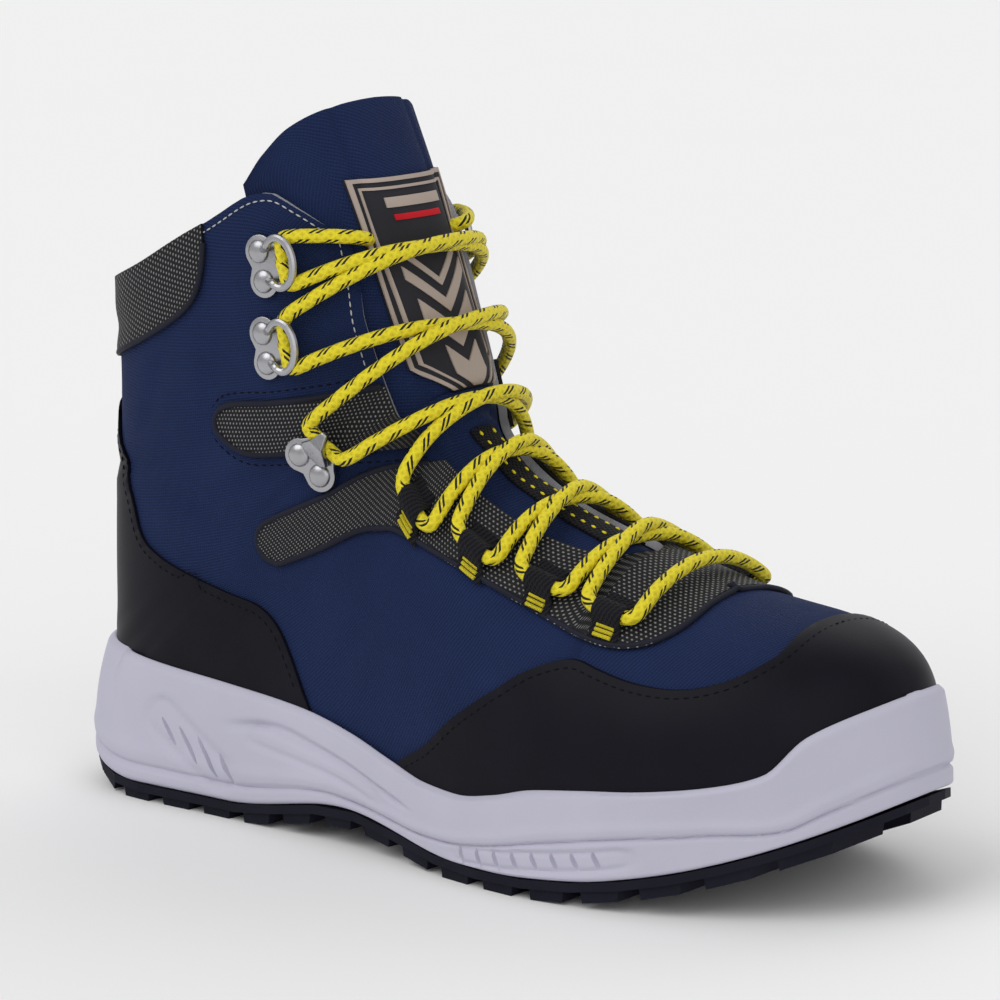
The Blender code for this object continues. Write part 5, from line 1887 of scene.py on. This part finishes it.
class BOOT_OT_fittings(bpy.types.Operator):
    """Makes the lace tabs, the hooks, the rivets, the drains and the pull loop"""

    bl_idname = "boot.fittings"
    bl_label = "Fittings"

    def execute(self, context):
        bars = []
        for side in (-1, 1):
            for number in range(len(TABS)):
                name = "tab_%s_%d" % (label(side), number + 1)
                place = tab_patch(number, side)
                made = add(name + "_strip", patch(spread(-1, 1, 14), 30, place, (side,)), "webbing")
                thicken(made, 0.0009, True)
                soften(made, 0.0003)
                stand_for(settle(made), [name], "black_webbing")
                for t in (0.05, 0.145, 0.24):
                    bars.append([place(at, t, side) for at in (-BAR_REACH, 0.0, BAR_REACH)])
        bar_stitches(bars)
        hook_pieces()
        loop_piece()
        return {"FINISHED"}


# Yellow bars of the tabs: height over the strip's ground and radius.
BAR_LIFT = 0.0011
BAR_RADIUS = 0.00062
BAR_REACH = 0.62


def bar_stitches(bars):
    """Three thick yellow bars across each tab."""
    mesh = bmesh.new()
    for bar in bars:
        line = []
        for point in smooth_line(bar, 5):
            row, around = row_at(point.x, point.z)
            side = -1 if point.y < CENTRE_Y else 1
            line.append(point + normal(row, around, side) * BAR_LIFT)
        sweep(mesh, line, BAR_RADIUS, sides=8)
    stand_for(settle(add("tab_bars", capped(mesh), "yellow_thread")), (), "yellow_lace")


# The hook's ring: height over the plate, reach ahead, half width, half of its open turn, and its foot.
RING_LIFT = 0.0040
RING_REACH = 0.0052
RING_HALF = 0.0076
RING_TURN = 130
RING_FOOT = (0.0018, 0.0048, 0.0003)


def ring_line():
    """The hook's ring in the plate's own frame: x ahead, y along the plate, z out of it."""
    points = []
    for i in range(25):
        turn = math.radians(-RING_TURN + 2 * RING_TURN * i / 24)
        reach = BARREL_AHEAD + 0.0004 + RING_REACH * math.cos(turn)
        points.append(Vector((reach, RING_HALF * math.sin(turn), HOOK_PLATE + RING_LIFT)))
    start, end = points[0], points[-1]
    neck = Vector((RING_FOOT[0], RING_FOOT[1], HOOK_PLATE + RING_FOOT[2]))
    first = Vector((neck.x, -neck.y, neck.z))
    return [first, start.lerp(first, 0.4)] + points + [end.lerp(neck, 0.4), neck]


def hook_pieces():
    for side in (-1, 1):
        for number in range(len(HOOKS)):
            seat = hook_frame(number, side)
            name = "hook_%s_%d" % (label(side), number + 1)
            mesh = bmesh.new()
            plate = lobed_plate()
            mesh_join(mesh, plate)
            if number < 2:
                mesh_join(mesh, closed_sweep(smooth_line(ring_line(), 3), 0.00125, sides=10))
            else:
                mesh_join(mesh, pointed_clip())
            bmesh.ops.transform(mesh, matrix=seat, verts=mesh.verts)
            if seat.determinant() < 0:
                bmesh.ops.reverse_faces(mesh, faces=mesh.faces)
            made = add(name + "_plate", mesh, "metal")
            stand_for(settle(made, 35), [name], "gunmetal")
            for end in (-1, 1):
                tag = "a" if end < 0 else "b"
                rivet = "rivet_%s_%d_%s" % (label(side), number + 1, tag)
                dome = bmesh.new()
                bmesh.ops.create_uvsphere(dome, u_segments=20, v_segments=12, radius=RIVET_RADIUS)
                flat = Matrix.Diagonal((1, 1, 0.5, 1))
                place = Matrix.Translation((0, end * RIVET_APART / 2, HOOK_PLATE)) @ flat
                bmesh.ops.transform(dome, matrix=seat @ place, verts=dome.verts)
                bmesh.ops.recalc_face_normals(dome, faces=dome.faces)
                stand_for(settle(add(rivet + "_dome", dome, "metal")), [rivet], "gunmetal")
    for number in range(len(DRAINS)):
        drain_piece(number)


def mesh_join(mesh, other):
    data = bpy.data.meshes.new("part")
    other.to_mesh(data)
    other.free()
    mesh.from_mesh(data)
    bpy.data.meshes.remove(data)


# Waist of the riveted plate between its lobes, ahead and across, and how far its back lies.
PLATE_WAIST = [(0.0064, -0.0056), (0.0078, -0.0046), (0.0060, 0.0), (0.0078, 0.0046), (0.0064, 0.0056)]
PLATE_BACK = 0.72


def lobed_plate():
    """The riveted plate: two lobes and a waist towards the ring."""
    radius = HOOK_HALF - RIVET_APART / 2 + 0.0002
    outline = []
    for centre, start, end in ((-RIVET_APART / 2, 150, 330), (RIVET_APART / 2, 30, 210)):
        for i in range(13):
            turn = math.radians(start + (end - start) * i / 12)
            outline.append((radius * math.cos(turn), centre + radius * math.sin(turn)))
        if centre < 0:
            outline += PLATE_WAIST
    outline.append((-radius * PLATE_BACK, 0.0))
    mesh = prism(outline, 2, 0.0, HOOK_PLATE)
    rims = []
    for edge in mesh.edges:
        if edge.calc_face_angle(0) > 1.0 and all(end.co.z > HOOK_PLATE / 2 for end in edge.verts):
            rims.append(edge)
    bmesh.ops.bevel(
        mesh, geom=rims, offset=0.0004, segments=2, profile=0.5, affect="EDGES", material=-1
    )
    return mesh


# The pointed clip: start of its rise, height of its fold, how far it goes over, its thickness.
CLIP_START = 0.0030
CLIP_RISE = 0.0058
CLIP_TURN = 2.2
CLIP_THICK = 0.0016


def pointed_clip():
    """The lowest hook's folded clip: a raised tongue of metal that narrows ahead, over the lace."""
    half = RIVET_APART * 0.62
    tip = BARREL_AHEAD + 0.0062
    outline = [(0.0026, -half * 0.55), (0.0050, -half), (0.0100, -half * 0.45), (tip, -half * 0.18)]
    outline += [(x, -y) for x, y in reversed(outline)]
    mesh = prism(outline, 2, HOOK_PLATE * 0.5, HOOK_PLATE + CLIP_THICK)
    for vertex in mesh.verts:
        rise = max(vertex.co.x - CLIP_START, 0.0) / tip
        vertex.co.z += CLIP_RISE * math.sin(min(rise, 1.0) * CLIP_TURN)
    edges = [edge for edge in mesh.edges if edge.calc_face_angle(0) > 0.8]
    bmesh.ops.bevel(
        mesh, geom=edges, offset=0.0006, segments=3, profile=0.5, affect="EDGES", material=-1
    )
    return mesh


# Radius of a drain's ring and of its cord, as shares of the eyelet's radius.
DRAIN_RING = 0.72
DRAIN_CORD = 0.28


def drain_piece(number):
    rim = inner_point(DRAINS[number], 1, 1.0)
    z = rim.z + EYELET_ABOVE + EYELET_RADIUS
    seat, centre, out, highest = seat_frame(rim.x, z, 1, 0, EYELET_RADIUS, EYELET_RADIUS)
    points = []
    for i in range(33):
        turn = 2 * math.pi * i / 32
        points.append(Vector((math.cos(turn), math.sin(turn), 0)) * EYELET_RADIUS * DRAIN_RING)
    mesh = sweep(bmesh.new(), points, EYELET_RADIUS * DRAIN_CORD, sides=12, closed=True)
    bmesh.ops.remove_doubles(mesh, verts=mesh.verts, dist=0.0001)
    place = Matrix.Translation(centre + out * (highest + 2 * SEAT + HOOK_PLATE / 2)) @ seat
    bmesh.ops.transform(mesh, matrix=place, verts=mesh.verts)
    bmesh.ops.recalc_face_normals(mesh, faces=mesh.faces)
    name = "drain_%d" % (number + 1)
    stand_for(settle(add(name + "_ring", mesh, "dark_metal")), [name], "gunmetal")


def loop_piece():
    points = rounded(LOOP_PATH, 6)

    def place(number, u, side):
        away, height = points[number]
        z = height * SHAFT_HEIGHT
        x = back_x(z) - GAP - LOOP_THICK / 2 - away * LOOP_WIDTH
        return Vector((x, CENTRE_Y + (u - 0.5) * LOOP_WIDTH, z))

    made = add("pull_loop_strip", patch(list(range(len(points))), 10, place, (1,)), "webbing")
    thicken(made, LOOP_THICK, True)
    made.modifiers["Thickness"].offset = 0.0
    soften(made, 0.0004)
    stand_for(settle(made), ["pull_loop"], "black_webbing")


# Laces


def strand(start, end, raise_middle=0.0, over=0.0, steps=16):
    """A strand over the throat. It rises in the middle to pass over the other one."""
    points = []
    for i in range(steps + 1):
        t = i / steps
        row = start[0] + (end[0] - start[0]) * t
        across = start[2] * (1 - start[1]) * (1 - t) + end[2] * (1 - end[1]) * t
        lift = start[3] + (end[3] - start[3]) * t
        lift += raise_middle * math.exp(-(((t - 0.5) / 0.16) ** 2)) + over * math.sin(math.pi * t)
        side = -1 if across < 0 else 1
        points.append(lifted(row, 1 - abs(across), side, lift))
    return points


# Height of a tab's ground, on which the lace lies in its tunnel.
TUNNEL_GROUND = 0.0012


# Where a strand passes a hook's ring and where it ends, in the hook's own frame, above its plate.
RING_PASS = (0.0104, 0.0048, 0.0018)
RING_END = (0.0088, 0.0014)


def tuck(kind, number, side, upward):
    """Where a strand ends: in its tab's tunnel or inside its hook's ring."""
    if kind == "tab":
        row, around, _, _ = tab_place(number, side)
        return [formed(row, around, side, LACE_DIAMETER / 2 + TUNNEL_GROUND)]
    seat = hook_frame(number, side)
    ahead, across, above = RING_PASS
    ends = [seat @ Vector((ahead, sign * across, HOOK_PLATE + above)) for sign in (-1, 1)]
    near = max(ends, key=lambda at: at.z) if upward else min(ends, key=lambda at: at.z)
    return [near, seat @ Vector((RING_END[0], 0.0, HOOK_PLATE + RING_END[1]))]


class BOOT_OT_laces(bpy.types.Operator):
    """Runs the lace through its tabs and hooks"""

    bl_idname = "boot.laces"
    bl_label = "Laces"

    def execute(self, context):
        radius = context.scene.boot_sizes.lace / 2
        start, end = tab_exit(0, -1, True), tab_exit(0, 1, True)
        bar = tuck("tab", 0, -1, False) + strand(start, end, 0.0, 0.0012) + tuck("tab", 0, 1, False)
        lace_piece("lace_bar_cord", [bar], radius, ["lace_bar"])
        for number, (kind, low, next_kind, high) in enumerate(CROSSINGS):
            strands = []
            for side in (-1, 1):
                middle = 0.0021 if side < 0 else -0.0012
                first = lace_exit(kind, low, side, True)
                last = lace_exit(next_kind, high, -side, False)
                line = tuck(kind, low, side, True)[::-1] + strand(first, last, middle)
                strands.append(line + tuck(next_kind, high, -side, False))
            node = "lace_cross_%d" % (number + 1)
            lace_piece(node + "_cord", strands, radius, [node])
        for side in (-1, 1):
            lace_end(side, radius)
        return {"FINISHED"}


# Distance between the rings of a lace.
LACE_PITCH = 0.0014


def lace_piece(name, lines, radius, nodes):
    mesh = bmesh.new()
    for line in lines:
        fine_line = even_line(smooth_line(line, 4), LACE_PITCH)[0]
        sweep(mesh, eased(fine_line), radius, sides=14)
    return stand_for(settle(add(name, capped(mesh), "lace")), nodes, "yellow_lace")


def lace_end(side, radius):
    """The lace's end, from the top hook in behind the flap."""
    start = hook_exit(0, side, True)
    end = (END_ROW, edge_share(END_ROW) + END_PAST, side, END_TUCK)
    line = tuck("hook", 0, side, True)[::-1] + strand(start, end, steps=6)
    line.append(lifted(END_ROW, end[1] + END_PAST * 0.35, side, -END_TUCK))
    name = "lace_end_" + label(side)
    points, length = even_line(smooth_line(line, 4), 0.0016)
    piece = lace_piece(name + "_cord", [line], radius, [name])
    return piece


# Stage


class BOOT_OT_stage(bpy.types.Operator):
    """Sets up the floor, the lights and the camera"""

    bl_idname = "boot.stage"
    bl_label = "Stage"

    def execute(self, context):
        tree, shader, place, _ = material("floor", 0.9, Specular_IOR_Level=0.0)
        paper = ramp(tree, noise(tree, place, 3.0), (0.91, 0.91, 0.91), (0.92, 0.92, 0.92))
        tree.links.new(paper, shader.inputs["Base Color"])
        mesh = bmesh.new()
        bmesh.ops.create_grid(mesh, x_segments=1, y_segments=1, size=60.0)
        floor = add("floor", mesh, "floor")
        world = bpy.data.worlds.new("studio")
        world.use_nodes = True
        world.node_tree.nodes["Background"].inputs["Color"].default_value = (1.0, 1.0, 1.0, 1.0)
        world.node_tree.nodes["Background"].inputs["Strength"].default_value = 0.55
        context.scene.world = world
        for name, spot, size, power in LIGHTS:
            data = bpy.data.lights.new(name, "SUN")
            data.angle = math.radians(size)
            data.energy = power
            lamp = bpy.data.objects.new(name, data)
            lamp.location = spot
            aim = Vector((0, 0, 0.1)) - Vector(spot)
            lamp.rotation_euler = aim.to_track_quat("-Z", "Y").to_euler()
            context.scene.collection.objects.link(lamp)
        context.scene.view_settings.view_transform = "Standard"
        set_camera(context)
        return {"FINISHED"}


# Soft lights: name, where from, how wide in degrees, and power.
LIGHTS = [
    ("key", (-0.5, -1.2, 1.5), 50, 1.00),
    ("front", (1.6, -0.9, 0.9), 60, 0.60),
    ("back", (-0.4, 1.4, 1.2), 60, 0.50),
]

# The photograph's camera: azimuth, elevation and roll in degrees, distance from the boot's
# origin, and how far the origin lies to the right of and above the middle of its view. The boot
# is framed from the same place with a longer lens aimed at its middle.
View = namedtuple("View", "azimuth elevation roll distance right up")
AIM = (0.004, 0.0, 0.104)
PHOTO = View(33.964, 10.875, -0.221, 1.17796, -0.120405, -0.102803)


def set_camera(context):
    azimuth, elevation = math.radians(PHOTO.azimuth), math.radians(PHOTO.elevation)
    right = Vector((math.cos(azimuth), math.sin(azimuth), 0))
    level = math.cos(elevation)
    back = Vector((math.sin(azimuth) * level, -math.cos(azimuth) * level, math.sin(elevation)))
    up = back.cross(right)
    roll = math.radians(PHOTO.roll)
    turned_up = up * math.cos(roll) - right * math.sin(roll)
    data = bpy.data.cameras.new("camera")
    data.lens = context.scene.boot_sizes.lens
    data.sensor_width = 36.0
    data.clip_end = 200.0
    camera = bpy.data.objects.new("camera", data)
    place = -right * PHOTO.right - up * PHOTO.up + back * PHOTO.distance
    away = (place - Vector(AIM)).normalized()
    across = turned_up.cross(away).normalized()
    turn = Matrix((across, away.cross(across), away)).transposed()
    camera.matrix_world = Matrix.Translation(place) @ turn.to_4x4()
    context.scene.collection.objects.link(camera)
    context.scene.camera = camera


class BOOT_PT_panel(bpy.types.Panel):
    """Lists the boot's sizes, colours and steps"""

    bl_idname = "BOOT_PT_panel"
    bl_label = "Wading boot"
    bl_space_type = "VIEW_3D"
    bl_region_type = "UI"
    bl_category = "Wading boot"

    def draw(self, context):
        layout = self.layout
        for group_name in ("boot_sizes", "boot_colours"):
            settings = getattr(context.scene, group_name)
            for name in settings.__annotations__:
                layout.prop(settings, name)
        for step in STEPS:
            layout.operator(step.bl_idname)


STEPS = (
    BOOT_OT_materials,
    BOOT_OT_stage,
    BOOT_OT_laces,
    BOOT_OT_upper,
    BOOT_OT_panels,
    BOOT_OT_tongue,
    BOOT_OT_sole,
    BOOT_OT_fittings,
)
CLASSES = (BootSizes, BootColours, *STEPS, BOOT_PT_panel)


def register():
    for item in CLASSES:
        bpy.utils.register_class(item)
    bpy.types.Scene.boot_sizes = bpy.props.PointerProperty(type=BootSizes)
    bpy.types.Scene.boot_colours = bpy.props.PointerProperty(type=BootColours)


def unregister():
    del bpy.types.Scene.boot_colours
    del bpy.types.Scene.boot_sizes
    for item in reversed(CLASSES):
        bpy.utils.unregister_class(item)


def main():
    """Dresses the boot step by step."""
    register()
    bpy.ops.boot.materials()
    bpy.ops.boot.stage()
    bpy.ops.boot.laces()
    bpy.ops.boot.upper()
    bpy.ops.boot.panels()
    bpy.ops.boot.tongue()
    bpy.ops.boot.sole()
    bpy.ops.boot.fittings()


if __name__ == "__main__":
    main()
